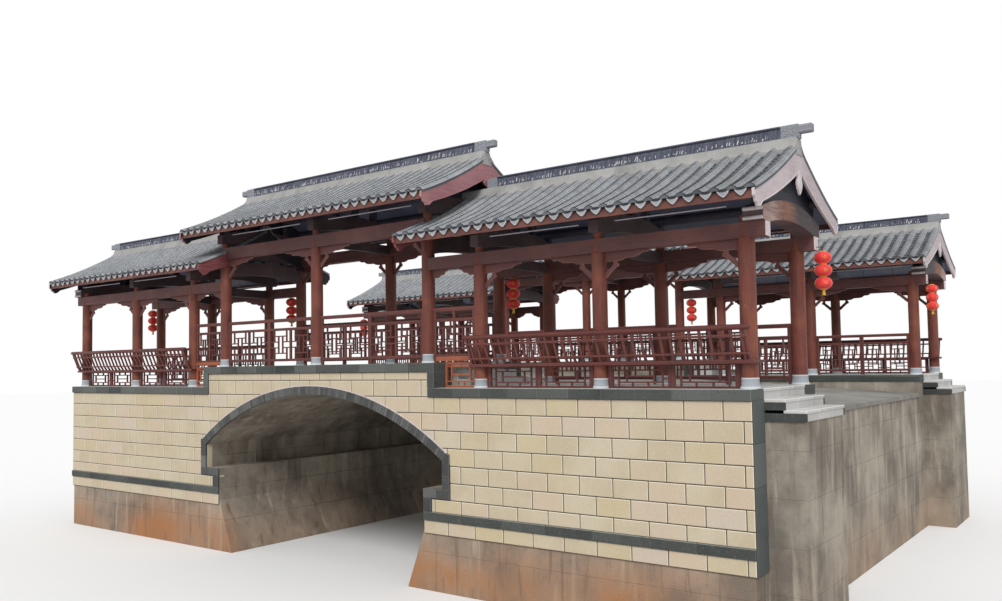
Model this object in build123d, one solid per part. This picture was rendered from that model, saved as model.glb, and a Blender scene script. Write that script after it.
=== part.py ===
# Covered bridge: a stone-faced arch bridge carrying two timber walking galleries
import os
from math import cos, radians, sin, sqrt
from build123d import *

os.makedirs("parts", exist_ok=True)

# Sizes of the masonry, mm. Z = 0 is the ground in the opening
ground_drop = 3450.0
wall_length = 18620.0
wall_width = 13460.0
facing_thickness = 30.0
granite_projection = 25.0
coping_height = 160.0
coping_width = 480.0
deck_rise = 455.0
raised_half_length = 3300.0
riser_count = 3
tread_depth = 300.0
floor_thickness = 60.0
gallery_depth = 2789.0
band_top_drop = 2050.0
band_bottom_drop = 2200.0
facing_bottom_drop = 2440.0

# Sizes of the arch, drops are below the underside of the low coping
arch_shift = 113.0
arch_half_span = 3503.0
arch_spring_drop = 1130.0
arch_crown_height = 21.0
ring_thickness = 166.0
jamb_width = 170.0
ledge_drop = 1640.0
ledge_height = 160.0
ledge_half_span = 3050.0
lower_jamb_width = 185.0
foot_drop = 2340.0
toe_half_span = 2620.0
ring_depth = 150.0

# Sizes of the roadway between the galleries
road_end_drop = 280.0
road_crown_height = 270.0
road_crest_half = 1200.0
road_thickness = 80.0

# Sizes of the steps outside each gallery end
landing_depth = 300.0
end_tread_depth = 300.0
end_riser = 155.0
step_slab = 45.0
cheek_thickness = 30.0

# Sizes of the timber frame, heights above the underside of the low coping
post_x_end = 9180.0
post_x_bay = 6730.0
post_x_stair = 4300.0
post_x_mid = 3070.0
post_row_front = 304.0
post_row_back = 2485.0
post_diameter = 245.0
post_neck_diameter = 170.0
post_taper = 150.0
base_height = 160.0
base_bottom_radius = 142.0
base_top_radius = 127.0
roof_lift = 750.0
low_post_top = 2650.0
low_beam_bottom = 2325.0
low_beam_top = 2550.0
mid_beam_bottom = 3040.0
mid_beam_top = 3300.0
beam_width = 200.0
stub_end = 9500.0
tie_width = 120.0
tie_drop = 20.0
tie_height = 190.0
crescent_width = 180.0
crescent_end_height = 200.0
crescent_mid_bottom = 100.0
crescent_mid_top = 400.0
crescent_overhang = 170.0
end_crescent_width = 300.0
strut_width = 120.0
purlin_radius = 80.0
purlin_seat = 12.0

# Sizes of the roofs
eave_t = -440.0
tile_eave_t = -520.0
ridge_t = 1394.5
eave_height = 2925.0
apex_height = 3860.0
slab_thickness = 110.0
tile_bed = 45.0
notch_gap = 5.0
low_roof_inner = 2970.0
low_roof_outer = 9590.0
mid_roof_half = 3610.0
verge_overhang = 20.0
board_thickness = 40.0
board_eave_depth = 250.0
board_apex_depth = 400.0
fascia_thickness = 30.0
fascia_bottom = 2760.0
fascia_top = 2900.0
ridge_band_width = 300.0
ridge_band_top = 3940.0
ridge_body_width = 150.0
ridge_top = 4135.0
ornament_length = 510.0
ornament_overhang = 205.0
ornament_top = 4155.0
pendant_width = 250.0
pendant_height = 360.0
mid_pendant_height = 175.0

# Sizes of the benches and railings
seat_top = 577.0
seat_bottom = 535.0
seat_front_t = 130.0
seat_back_t = 520.0
bench_overhang = 150.0
bench_rail_t = -30.0
baluster_pitch = 158.0
baluster_width = 30.0
rail_top = 1000.0
rail_thickness = 70.0
second_rail_top = 800.0
second_rail_height = 55.0
bottom_rail_top = 145.0
bottom_rail_height = 55.0
rail_depth = 60.0
stile_width = 60.0
lattice_bar = 24.0
lattice_depth = 36.0

# Sizes of the lanterns
lantern_radius = 140.0
lantern_height = 205.0
lantern_step = 207.0
lantern_cord = 20.0
lantern_inner_x = 3430.0
lantern_reach = 100.0

half_length = wall_length / 2
half_width = wall_width / 2
z0 = ground_drop
z_low = z0 + coping_height
z_mid = z_low + deck_rise
rise = deck_rise / riser_count


def box(x0, x1, y0, y1, za, zb):
    return Pos((x0 + x1) / 2, (y0 + y1) / 2, (za + zb) / 2) * Box(x1 - x0, y1 - y0, zb - za)


def gy(t):
    # distance in from the outer wall face, as a model Y of the front side
    return t - half_width


def tbox(x0, x1, t0, t1, za, zb):
    return box(x0, x1, gy(t0), gy(t1), za, zb)


def slab_xz(points, t0, t1):
    # polygon in X and Z, run through the depth from t0 to t1
    face = make_face(Polyline([(x, gy(t0), z) for x, z in points], close=True))
    return extrude(face, amount=t1 - t0, dir=(0, 1, 0))


def slab_tz(points, x0, x1):
    # polygon in depth and Z, run along X
    face = make_face(Polyline([(x0, gy(t), z) for t, z in points], close=True))
    return extrude(face, amount=x1 - x0, dir=(1, 0, 0))


def solids_of(items):
    found = []
    for item in items:
        if item is None:
            continue
        if isinstance(item, (list, tuple, ShapeList)):
            found.extend(solids_of(item))
        else:
            found.extend(item.solids())
    return found


def cut(shapes, tools):
    tools = solids_of([tools])
    result = []
    for shape in solids_of([shapes]):
        near = [tool for tool in tools if overlaps(shape, tool)]
        left = shape.cut(*near) if near else shape
        result.extend(left.solids() if hasattr(left, "solids") else solids_of([left]))
    return [s for s in result if s.volume > 2000.0]


def overlaps(a, b):
    p = a.bounding_box()
    q = b.bounding_box()
    return (
        p.min.X < q.max.X
        and q.min.X < p.max.X
        and p.min.Y < q.max.Y
        and q.min.Y < p.max.Y
        and p.min.Z < q.max.Z
        and q.min.Z < p.max.Z
    )


def joined(shapes):
    solids = solids_of([shapes])
    body = solids[0]
    if len(solids) > 1:
        body = solids[0].fuse(*solids[1:])
    return solids_of([body])


def mirror_x(shapes):
    return [mirror(s, about=Plane.YZ) for s in solids_of([shapes])]


def mirror_y(shapes):
    return [mirror(s, about=Plane.XZ) for s in solids_of([shapes])]


def save(name, shapes):
    solids = solids_of([shapes])
    export_step(Compound(children=solids), "parts/" + name + ".step")
    print(name, len(solids))


def save_pair(name, shapes):
    # the back gallery is the front one mirrored across the roadway
    save("front_" + name, shapes)
    save("back_" + name, mirror_y(shapes))


def save_both(name, shapes):
    # like pieces of both galleries in one node
    solids = solids_of([shapes])
    save(name, solids + mirror_y(solids))


# Arch outline
ring_radius = (arch_half_span**2 + (arch_spring_drop + arch_crown_height) ** 2) / (
    2 * (arch_spring_drop + arch_crown_height)
)
arch_centre = z0 + arch_crown_height - ring_radius


def arc_points(radius, half_span, count):
    # points along an arch from left to right about the arch centre
    points = []
    for i in range(count + 1):
        x = -half_span + 2 * half_span * i / count
        points.append((x, arch_centre + sqrt(radius**2 - x**2)))
    return points


def arch_body(radius, half_span, bottom, t0, t1):
    top = arch_centre + radius
    left = (-half_span, arch_centre + sqrt(radius**2 - half_span**2))
    right = (half_span, left[1])
    y = gy(t0)
    lines = [
        ThreePointArc((left[0], y, left[1]), (0, y, top), (right[0], y, right[1])),
        Line((right[0], y, right[1]), (half_span, y, bottom)),
        Line((half_span, y, bottom), (-half_span, y, bottom)),
        Line((-half_span, y, bottom), (left[0], y, left[1])),
    ]
    return extrude(make_face(Wire(lines)), amount=t1 - t0, dir=(0, 1, 0))


def opening(t0, t1):
    upper = arch_body(ring_radius, arch_half_span, z0 - ledge_drop, t0, t1)
    lower = slab_xz(
        [
            (-ledge_half_span, z0 - ledge_drop + 1),
            (ledge_half_span, z0 - ledge_drop + 1),
            (ledge_half_span, z0 - foot_drop),
            (toe_half_span, -1),
            (-toe_half_span, -1),
            (-ledge_half_span, z0 - foot_drop),
        ],
        t0,
        t1,
    )
    return [Pos(arch_shift, 0, 0) * s for s in joined([upper, lower])]


# Gallery floor line and the masonry under it
def raised_outline(length, bottom, low, high):
    return [
        (-length, bottom),
        (length, bottom),
        (length, low),
        (raised_half_length, low),
        (raised_half_length, high),
        (-raised_half_length, high),
        (-raised_half_length, low),
        (-length, low),
    ]


core_half = half_length - facing_thickness
strip = slab_xz(
    raised_outline(core_half, 0, z_low - floor_thickness, z_mid - floor_thickness),
    coping_width,
    gallery_depth - coping_width,
)
strip_edge = slab_xz(
    raised_outline(core_half, 0, z0, z0 + deck_rise),
    facing_thickness,
    coping_width,
)
strip_inner = slab_xz(
    raised_outline(core_half, 0, z0, z0 + deck_rise),
    gallery_depth - coping_width,
    gallery_depth,
)
road_profile = [
    (-half_length, z0 - road_end_drop),
    (-road_crest_half, z0 + road_crown_height - 45),
    (0, z0 + road_crown_height),
    (road_crest_half, z0 + road_crown_height - 45),
    (half_length, z0 - road_end_drop),
]


def road_strip(raise_by, bottom, half):
    # strip between the galleries, its top follows the humped road
    y = gy(gallery_depth)
    top = [(x, y, z + raise_by) for x, z in road_profile]
    top[0] = (-half, y, top[0][2])
    top[-1] = (half, y, top[-1][2])
    lines = [
        Line(top[0], top[1]),
        ThreePointArc(top[1], top[2], top[3]),
        Line(top[3], top[4]),
    ]
    if bottom is None:
        low = [(p[0], y, p[2] - road_thickness) for p in top]
        lines += [
            Line(top[4], low[4]),
            Line(low[4], low[3]),
            ThreePointArc(low[3], low[2], low[1]),
            Line(low[1], low[0]),
            Line(low[0], top[0]),
        ]
    else:
        lines += [
            Line(top[4], (half, y, bottom)),
            Line((half, y, bottom), (-half, y, bottom)),
            Line((-half, y, bottom), top[0]),
        ]
    return extrude(make_face(Wire(lines)), amount=-2 * y, dir=(0, 1, 0))


road_body = road_strip(-road_thickness, 0.0, core_half)
# footings that carry the steps outside each gallery end
step_edges = [half_length + i * end_tread_depth for i in range(riser_count)]
step_t0 = coping_width
step_t1 = gallery_depth - coping_width
footing_top = z_low - riser_count * end_riser
footings = [
    tbox(
        core_half,
        step_edges[-1] - cheek_thickness,
        step_t0 + cheek_thickness,
        step_t1 - cheek_thickness,
        0,
        footing_top,
    )
]
footings += mirror_x(footings)
half_core = joined([strip, strip_edge, strip_inner, footings])
core = joined([half_core, mirror_y(half_core), road_body])
core = cut(core, opening(-200, wall_width + 200))
save("masonry_core", core)
save("roadway", road_strip(0, None, half_length))


# Granite ring, jambs and ledge blocks round the opening
def granite_trim():
    t0 = -granite_projection
    t1 = facing_thickness
    block_bottom = z0 - ledge_drop - ledge_height
    outer = arch_body(ring_radius + ring_thickness, arch_half_span + jamb_width, block_bottom, t0, t1)
    inner_cut = arch_body(ring_radius, arch_half_span, z0 - foot_drop, t0 - 10, t1 + 10)
    ring = cut(outer, inner_cut)
    ledge_block = tbox(ledge_half_span, arch_half_span + jamb_width, t0, t1, block_bottom, z0 - ledge_drop)
    lower_jamb = tbox(
        ledge_half_span, ledge_half_span + lower_jamb_width, t0, t1, z0 - band_top_drop, block_bottom
    )
    pieces = joined([ring, ledge_block, mirror_x(ledge_block), lower_jamb, mirror_x(lower_jamb)])
    return [Pos(arch_shift, 0, 0) * s for s in pieces]


trim = granite_trim()
save_pair("arch_ring", trim)

band_bottom = z0 - band_bottom_drop
band_top = z0 - band_top_drop
band_in = -granite_projection
right_band = tbox(arch_shift + ledge_half_span, half_length, band_in, facing_thickness, band_bottom, band_top)
left_band = tbox(-half_length, arch_shift - ledge_half_span, band_in, facing_thickness, band_bottom, band_top)
bands = solids_of([right_band, left_band])
save_both("string_courses", bands)

# Granite slabs on the end faces of the wall, beside the steps
end_slab = tbox(core_half, half_length, facing_thickness, coping_width, z0 - facing_bottom_drop, z0)
end_slabs = solids_of([end_slab, mirror_x(end_slab)])
save_both("end_slabs", end_slabs)

# Stone tile facing of the wall, kept clear of the granite
facing = slab_xz(
    raised_outline(half_length, z0 - facing_bottom_drop, z0, z0 + deck_rise),
    0,
    facing_thickness,
)
facing = cut(facing, [trim, bands, opening(-100, 200)])
save_pair("tile_facing", facing)

# Coping stones, stepping up over the arch
coping_low = tbox(
    raised_half_length, half_length, -granite_projection - 10, coping_width, z0, z_low
)
coping_mid = tbox(
    -raised_half_length - coping_height,
    raised_half_length + coping_height,
    -granite_projection - 10,
    coping_width,
    z0 + deck_rise,
    z_mid,
)
coping_step = tbox(
    raised_half_length,
    raised_half_length + coping_height,
    -granite_projection - 10,
    coping_width,
    z_low,
    z0 + deck_rise,
)
coping = joined([coping_low, mirror_x(coping_low), coping_mid, coping_step, mirror_x(coping_step)])
save_pair("coping", coping)

# Kerb stones along the road side of each gallery
kerb_low = tbox(raised_half_length, half_length, gallery_depth - coping_width, gallery_depth + 15, z0, z_low)
kerb_mid = tbox(
    -raised_half_length,
    raised_half_length,
    gallery_depth - coping_width,
    gallery_depth + 15,
    z0 + deck_rise,
    z_mid,
)
kerb_face = tbox(
    raised_half_length, raised_half_length + 60, gallery_depth - coping_width, gallery_depth + 15, z_low, z_mid
)
kerb = joined([kerb_low, mirror_x(kerb_low), kerb_mid, kerb_face, mirror_x(kerb_face)])
road_top = road_strip(0, -10.0, half_length)
kerb = cut(kerb, road_top)
save_both("kerbs", kerb)

# Floor slabs of the galleries
floor_low = tbox(
    raised_half_length, half_length - landing_depth, coping_width, gallery_depth - coping_width, z_low - floor_thickness, z_low
)
floor_mid = tbox(
    -raised_half_length, raised_half_length, coping_width, gallery_depth - coping_width, z_mid - floor_thickness, z_mid
)
floors = solids_of([floor_low, mirror_x(floor_low), floor_mid])
save_both("gallery_floors", floors)

# Steps between the low and the raised floor, one solid for each tread
inner_lower = tbox(
    raised_half_length, raised_half_length + 2 * tread_depth, coping_width, gallery_depth - coping_width, z_low, z_low + rise
)
inner_upper = tbox(
    raised_half_length,
    raised_half_length + tread_depth,
    coping_width,
    gallery_depth - coping_width,
    z_low + rise,
    z_low + 2 * rise,
)
lower = solids_of([inner_lower, mirror_x(inner_lower)])
upper = solids_of([inner_upper, mirror_x(inner_upper)])
save("inner_treads_lower", lower + mirror_y(lower))
save("inner_treads_upper", upper + mirror_y(upper))


# Steps outside each gallery end, one solid for each tread, the top one flush with the wall end
def end_tread(index):
    top = z_low - index * end_riser
    if index == 0:
        riser = tbox(core_half, half_length, step_t0, step_t1, top - end_riser, top - floor_thickness)
        slab = tbox(half_length - landing_depth, half_length, step_t0, step_t1, top - floor_thickness, top)
    else:
        edge = step_edges[index]
        inner_t0 = step_t0 + cheek_thickness
        inner_t1 = step_t1 - cheek_thickness
        riser = tbox(core_half, edge, inner_t0, inner_t1, top - end_riser, top - step_slab)
        slab = tbox(core_half, edge, step_t0, step_t1, top - step_slab, top)
    body = joined([riser, slab])
    return solids_of([body, mirror_x(body)])


tread_sets = [end_tread(i) for i in range(riser_count)]
for tread_name, tread_set in zip(("top", "middle", "bottom"), tread_sets):
    save("end_treads_" + tread_name, tread_set + mirror_y(tread_set))

# Dark cheek plates on the flanks of the end steps
cheek_points = [(core_half, footing_top)]
for i in reversed(range(1, riser_count)):
    cheek_points.append((step_edges[i], z_low - (i + 1) * end_riser))
    cheek_points.append((step_edges[i], z_low - i * end_riser - step_slab))
cheek_points.append((core_half, z_low - end_riser - step_slab))
cheek = slab_xz(cheek_points, step_t0, step_t0 + cheek_thickness)
cheek = cut(cheek, tread_sets)
cheek_in = [Pos(0, step_t1 - step_t0 - cheek_thickness, 0) * s for s in cheek]
cheeks = solids_of([cheek, cheek_in])
cheeks = cheeks + mirror_x(cheeks)
save("step_cheeks", cheeks + mirror_y(cheeks))

# Posts and their stone bases
low_xs = [post_x_stair, post_x_bay, post_x_end]
mid_xs = [-post_x_mid, 0.0, post_x_mid]
low_all = sorted([-x for x in low_xs] + low_xs)
rows = [post_row_front, post_row_back]
post_radius = post_diameter / 2


def post_at(x, t, bottom, beam_bottom, top):
    # a round post that tapers into a narrow neck where the long beam is housed
    neck = post_neck_diameter / 2
    taper_top = beam_bottom + post_taper
    shaft = Pos(x, gy(t), (bottom + beam_bottom) / 2) * Cylinder(post_radius, beam_bottom - bottom)
    taper = Pos(x, gy(t), beam_bottom + post_taper / 2) * Cone(post_radius, neck, post_taper)
    upper = Pos(x, gy(t), (taper_top + top) / 2) * Cylinder(neck, top - taper_top)
    return joined([shaft, taper, upper])


def base_at(x, t, bottom):
    return Pos(x, gy(t), bottom + base_height / 2) * Cone(base_bottom_radius, base_top_radius, base_height)


bases = []
posts = []
for t in rows:
    for x in low_all:
        bases.append(base_at(x, t, z_low))
        posts.append(post_at(x, t, z_low + base_height, z0 + low_beam_bottom, z0 + low_post_top))
    for x in mid_xs:
        bases.append(base_at(x, t, z_mid))
        posts.append(
            post_at(x, t, z_mid + base_height, z0 + mid_beam_bottom, z0 + low_post_top + roof_lift)
        )
posts = solids_of([posts])
bases = solids_of([bases])
save_both("post_bases", bases)
save_pair("posts", posts)

# Long beams between the posts
beams = []
for t in rows:
    t0 = t - beam_width / 2
    t1 = t + beam_width / 2
    beams.append(tbox(post_x_mid, stub_end, t0, t1, z0 + low_beam_bottom, z0 + low_beam_top))
    beams.append(tbox(-stub_end, -post_x_mid, t0, t1, z0 + low_beam_bottom, z0 + low_beam_top))
    beams.append(tbox(-post_x_mid, post_x_mid, t0, t1, z0 + mid_beam_bottom, z0 + mid_beam_top))
beams = cut(beams, posts)
save_pair("long_beams", beams)

# Cross ties between the two post rows, none at the open ends
ties = []
for x in [x for x in low_all if abs(x) < post_x_end]:
    top = z0 + low_beam_top - tie_drop
    ties.append(
        tbox(x - tie_width / 2, x + tie_width / 2, post_row_front, post_row_back, top - tie_height, top)
    )
for x in mid_xs:
    top = z0 + mid_beam_top - tie_drop
    ties.append(
        tbox(x - tie_width / 2, x + tie_width / 2, post_row_front, post_row_back, top - tie_height, top)
    )
ties = cut(ties, solids_of([posts, beams]))
save_both("cross_ties", ties)


# Crescent beams, cambered, on the post tops
def crescent(x, bottom, width=crescent_width):
    t0 = post_row_front - crescent_overhang
    t1 = post_row_back + crescent_overhang
    a0 = post_row_front + post_radius
    a1 = post_row_back - post_radius
    tm = (t0 + t1) / 2
    x0 = x - width / 2
    low_mid = bottom + crescent_mid_bottom
    high_end = bottom + crescent_end_height
    high_mid = bottom + crescent_mid_top
    lines = [
        Line((x0, gy(t0), bottom), (x0, gy(a0), bottom)),
        ThreePointArc((x0, gy(a0), bottom), (x0, gy(tm), low_mid), (x0, gy(a1), bottom)),
        Line((x0, gy(a1), bottom), (x0, gy(t1), bottom)),
        Line((x0, gy(t1), bottom), (x0, gy(t1), high_end)),
        ThreePointArc((x0, gy(t1), high_end), (x0, gy(tm), high_mid), (x0, gy(t0), high_end)),
        Line((x0, gy(t0), high_end), (x0, gy(t0), bottom)),
    ]
    return extrude(make_face(Wire(lines)), amount=width, dir=(1, 0, 0))


low_crescent_z = z0 + low_post_top
mid_crescent_z = z0 + low_post_top + roof_lift
mid_crescents = solids_of([crescent(x, mid_crescent_z) for x in mid_xs])
bay_xs = [x for x in low_all if abs(x) < post_x_end]
low_crescents = [crescent(x, low_crescent_z) for x in bay_xs]
# the end ones lie on the beam ends, just inside the gable boards
end_crescent_x = stub_end - end_crescent_width / 2
for x in (-end_crescent_x, end_crescent_x):
    low_crescents.extend(cut(crescent(x, z0 + low_beam_top, end_crescent_width), posts))
inner_crescents = cut([crescent(x, low_crescent_z) for x in (-post_x_mid, post_x_mid)], posts)
inner_crescents = [s for s in inner_crescents if s.volume > 2.0e7]
crescents = mid_crescents + solids_of([low_crescents]) + inner_crescents
save_both("crescent_beams", crescents)


# Roof section, concave from ridge to eave
def roof_z(t):
    u = min(abs(ridge_t - t) / (ridge_t - tile_eave_t), 1.0)
    return z0 + apex_height - (apex_height - eave_height) * (1.26 * u - 0.26 * u * u)


def roof_curve(drop, t_end, count):
    # points of one slope from eave to ridge
    points = []
    for i in range(count + 1):
        t = t_end + (ridge_t - t_end) * i / count
        points.append((t, roof_z(t) - drop))
    return points


def both_slopes(points):
    other = [(2 * ridge_t - t, z) for t, z in reversed(points[:-1])]
    return points + other


def roof_slab(x0, x1, over0, over1, lift):
    top = both_slopes(roof_curve(0, tile_eave_t, 14))
    mid = both_slopes(roof_curve(tile_bed, tile_eave_t, 14))
    mid_in = both_slopes(roof_curve(tile_bed / 2, eave_t, 14))
    bottom = both_slopes(roof_curve(slab_thickness, eave_t, 14))
    bed = slab_tz([(t, z + lift) for t, z in top + mid[::-1]], x0 - over0, x1 + over1)
    under = slab_tz([(t, z + lift) for t, z in mid_in + bottom[::-1]], x0, x1)
    return joined([bed, under])


gable_over = board_thickness + verge_overhang
low_slab = roof_slab(low_roof_inner, low_roof_outer, gable_over, gable_over, 0)
mid_slab = roof_slab(-mid_roof_half, mid_roof_half, gable_over, gable_over, roof_lift)
frame_in_way = solids_of([posts, beams, ties, mid_crescents])
# square notches let the middle posts through the low roof
notch = post_radius + notch_gap
notch_top = z0 + low_post_top + roof_lift
notches = [
    tbox(x - notch, x + notch, t - notch, t + notch, z0, notch_top) for x in (-post_x_mid, post_x_mid) for t in rows
]
low_slab = cut(low_slab, solids_of([notches, beams, ties, mid_crescents]))
low_slab = [max(low_slab, key=lambda s: s.volume)]
mid_slab = cut(mid_slab, posts)


# Purlins seated against the underside of the slab
def purlin(x0, x1, t, lift):
    centre = roof_z(t) - slab_thickness - purlin_radius + purlin_seat + lift
    body = Pos((x0 + x1) / 2, gy(t), centre) * Rot(0, 90, 0) * Cylinder(purlin_radius, x1 - x0)
    return body


purlin_ts = [post_row_front, 850.0, ridge_t, 2 * ridge_t - 850.0, post_row_back]
low_purlins = []
mid_purlins = []
for t in purlin_ts:
    low_purlins.append(purlin(low_roof_inner, low_roof_outer, t, 0))
    mid_purlins.append(purlin(-mid_roof_half, mid_roof_half, t, roof_lift))
low_purlins = cut(low_purlins, solids_of([low_slab, frame_in_way]))
low_purlins = [s for s in low_purlins if s.volume > 1.0e7]
mid_purlins = cut(mid_purlins, mid_slab)
purlins = low_purlins + mirror_x(low_purlins) + mid_purlins
save_both("purlins", purlins)


# Short struts from the crescent beams up to the purlins
def strut(x, t, bottom, top):
    half = strut_width / 2
    return tbox(x - half, x + half, t - half, t + half, bottom, top)


def strut_top(t):
    # the struts end at the purlin's centre line
    return roof_z(t) - slab_thickness - purlin_radius + purlin_seat


struts = []
strut_foot = (crescent_mid_bottom + crescent_end_height) / 2
for x in bay_xs + [-end_crescent_x, end_crescent_x]:
    for t in purlin_ts:
        struts.append(strut(x, t, low_crescent_z + strut_foot, strut_top(t)))
for x in (-post_x_mid, post_x_mid):
    for t in purlin_ts[1:-1]:
        struts.append(strut(x, t, low_crescent_z + strut_foot, strut_top(t)))
for x in mid_xs:
    for t in purlin_ts:
        struts.append(strut(x, t, mid_crescent_z + strut_foot, strut_top(t) + roof_lift))
low_slabs = low_slab + mirror_x(low_slab)
struts = cut(struts, solids_of([crescents, purlins, low_slabs, mid_slab, posts, ties]))
struts = [s for s in struts if s.volume > 1.0e5]
save_both("purlin_struts", struts)

# Ridges with raised block ends
def ridge(x0, x1, body_x0, lift, end0, end1):
    z_line = z0 + lift
    t = ridge_t
    half_band = ridge_band_width / 2
    half_body = ridge_body_width / 2
    items = [
        tbox(x0, x1, t - half_band, t + half_band, z_line + apex_height - 180, z_line + ridge_band_top),
        tbox(body_x0, x1, t - half_body, t + half_body, z_line + ridge_band_top - 5, z_line + ridge_top),
    ]
    for active, edge, way in ((end0, x0, -1), (end1, x1, 1)):
        if not active:
            continue
        tip = edge + way * ornament_overhang
        root = edge - way * (ornament_length - ornament_overhang)
        arm = ridge_band_top + 45
        points = [
            (root, z_line + ridge_band_top - 20),
            (edge, z_line + ridge_band_top - 20),
            (edge + way * 15, z_line + arm),
            (tip, z_line + arm),
            (tip, z_line + ridge_top - 35),
            (tip - way * 45, z_line + ridge_top),
            (edge, z_line + ridge_top - 10),
            (edge - way * 60, z_line + ornament_top),
            (root + way * 40, z_line + ridge_top + 5),
            (root, z_line + ridge_top - 20),
        ]
        items.append(slab_xz(points, t - half_body - 15, t + half_body + 15))
    return joined(items)


mid_gable_face = mid_roof_half + board_thickness
low_ridge = ridge(
    low_roof_inner - gable_over, low_roof_outer + gable_over, mid_gable_face + 50, 0, False, True
)
low_ridge = cut(low_ridge, solids_of([low_slab, mid_crescents, struts]))
low_ridge = [max(low_ridge, key=lambda s: s.volume)]
mid_edge = mid_roof_half + gable_over
mid_ridge = cut(ridge(-mid_edge, mid_edge, -mid_edge, roof_lift, True, True), mid_slab)
mid_ridge = [max(mid_ridge, key=lambda s: s.volume)]

save_pair("low_roofs", low_slabs)
save_pair("middle_roof", mid_slab)
save_pair("ridges", low_ridge + mirror_x(low_ridge) + mid_ridge)


# Gable boards with a notched, swept foot
def board_half(x0, lift):
    top = roof_curve(tile_bed, tile_eave_t, 14)
    tip_t = tile_eave_t + 155
    tip_z = roof_z(tile_eave_t) - board_eave_depth - 30
    lower = []
    for i in range(1, 13):
        u = i / 12
        t = tip_t + (ridge_t - tip_t) * u
        depth = board_eave_depth + (board_apex_depth - board_eave_depth) * u
        lower.append((t, roof_z(t) - tile_bed - depth))
    foot = [
        (tile_eave_t, roof_z(tile_eave_t) - 150),
        (tile_eave_t + 45, roof_z(tile_eave_t) - 165),
        (tile_eave_t + 55, roof_z(tile_eave_t) - 215),
        (tile_eave_t + 100, roof_z(tile_eave_t) - 235),
        (tip_t - 20, tip_z),
        (tip_t + 60, tip_z + 15),
    ]
    points = top + lower[::-1] + foot[::-1]
    return slab_tz([(t, z + lift) for t, z in points], x0, x0 + board_thickness)


def gable_boards(x0, lift):
    front = board_half(x0, lift)
    back = mirror(front, about=Plane.XZ.offset(-gy(ridge_t)))
    return joined([front, back])


low_boards = gable_boards(low_roof_outer, 0)
inner_boards = gable_boards(low_roof_inner - board_thickness, 0)
inner_boards = cut(inner_boards, solids_of([posts, beams, ties, crescents, struts, purlins]))
inner_boards = [max(inner_boards, key=lambda s: s.volume)]
mid_boards = gable_boards(mid_roof_half, roof_lift)
boards = low_boards + inner_boards + mid_boards
boards = boards + mirror_x(boards)
save_pair("gable_boards", boards)


def pendant(x0, lift, h):
    top = roof_z(ridge_t) - tile_bed - board_apex_depth + lift
    w = pendant_width / 2
    points = [
        (ridge_t - 25, top),
        (ridge_t + 25, top),
        (ridge_t + w * 0.8, top - h * 0.18),
        (ridge_t + w * 0.6, top - h * 0.32),
        (ridge_t + w, top - h * 0.5),
        (ridge_t + w * 0.7, top - h * 0.75),
        (ridge_t + 12, top - h),
        (ridge_t - 12, top - h),
        (ridge_t - w * 0.7, top - h * 0.75),
        (ridge_t - w, top - h * 0.5),
        (ridge_t - w * 0.6, top - h * 0.32),
        (ridge_t - w * 0.8, top - h * 0.18),
    ]
    return slab_tz(points, x0, x0 + board_thickness)


pendants = [pendant(low_roof_outer, 0, pendant_height), pendant(mid_roof_half, roof_lift, mid_pendant_height)]
pendants = cut(pendants, solids_of([boards, low_ridge]))
pendants = pendants + mirror_x(pendants)
save_both("gable_pendants", pendants)


# Fascia boards below the eave tiles
def fascia(x0, x1, lift):
    return tbox(
        x0, x1, eave_t - fascia_thickness, eave_t, z0 + fascia_bottom + lift, roof_z(tile_eave_t) - tile_bed + lift
    )


front_fascias = [
    fascia(low_roof_inner, low_roof_outer, 0),
    fascia(-mid_roof_half, mid_roof_half, roof_lift),
]
front_fascias.append(mirror(front_fascias[0], about=Plane.YZ))
fascias = cut(front_fascias, solids_of([low_slabs, mid_slab]))
road_fascias = [mirror(s, about=Plane.XZ.offset(-gy(ridge_t))) for s in fascias]
save_both("fascia_boards", fascias + road_fascias)


# Stepped hanging boards and small braces under the long beams
def hanging_board(x0, x1, t, top):
    length = min(880.0, (x1 - x0) * 0.36)
    points = [
        (x0, top),
        (x0 + length, top),
        (x0 + length, top - 45),
        (x0 + length * 0.8, top - 60),
        (x0 + length * 0.72, top - 105),
        (x0 + length * 0.45, top - 115),
        (x0 + length * 0.38, top - 150),
        (x0, top - 150),
    ]
    board = slab_xz(points, t - 20, t + 20)
    brace = slab_xz(
        [
            (x0, top - 420),
            (x0 + 40, top - 420),
            (x0 + 190, top - 270),
            (x0 + 260, top - 150),
            (x0 + 190, top - 150),
            (x0 + 140, top - 240),
            (x0, top - 360),
        ],
        t - 20,
        t + 20,
    )
    left = joined([board, brace])
    centre = (x0 + x1) / 2
    right = [mirror(s, about=Plane.YZ.offset(centre)) for s in left]
    return solids_of([left, right])


hangings = []
line_xs = [post_x_mid] + low_xs
for t in rows:
    # the stair bay on the road side has a lantern string in their place
    low_line = line_xs if t == post_row_front else low_xs
    for a, b in zip(low_line[:-1], low_line[1:]):
        piece = hanging_board(a + post_radius - 20, b - post_radius + 20, t, z0 + low_beam_bottom)
        hangings.extend(piece)
        hangings.extend(mirror_x(piece))
    for a, b in zip(mid_xs[:-1], mid_xs[1:]):
        hangings.extend(hanging_board(a + post_radius - 20, b - post_radius + 20, t, z0 + mid_beam_bottom))
hangings = cut(hangings, solids_of([posts, boards]))
hangings = [s for s in hangings if s.volume > 1.0e6]
save_both("hanging_boards", hangings)

# Benches along the water side of the low floors
bench_x0 = post_x_stair - bench_overhang
bench_x1 = post_x_end + bench_overhang


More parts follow.
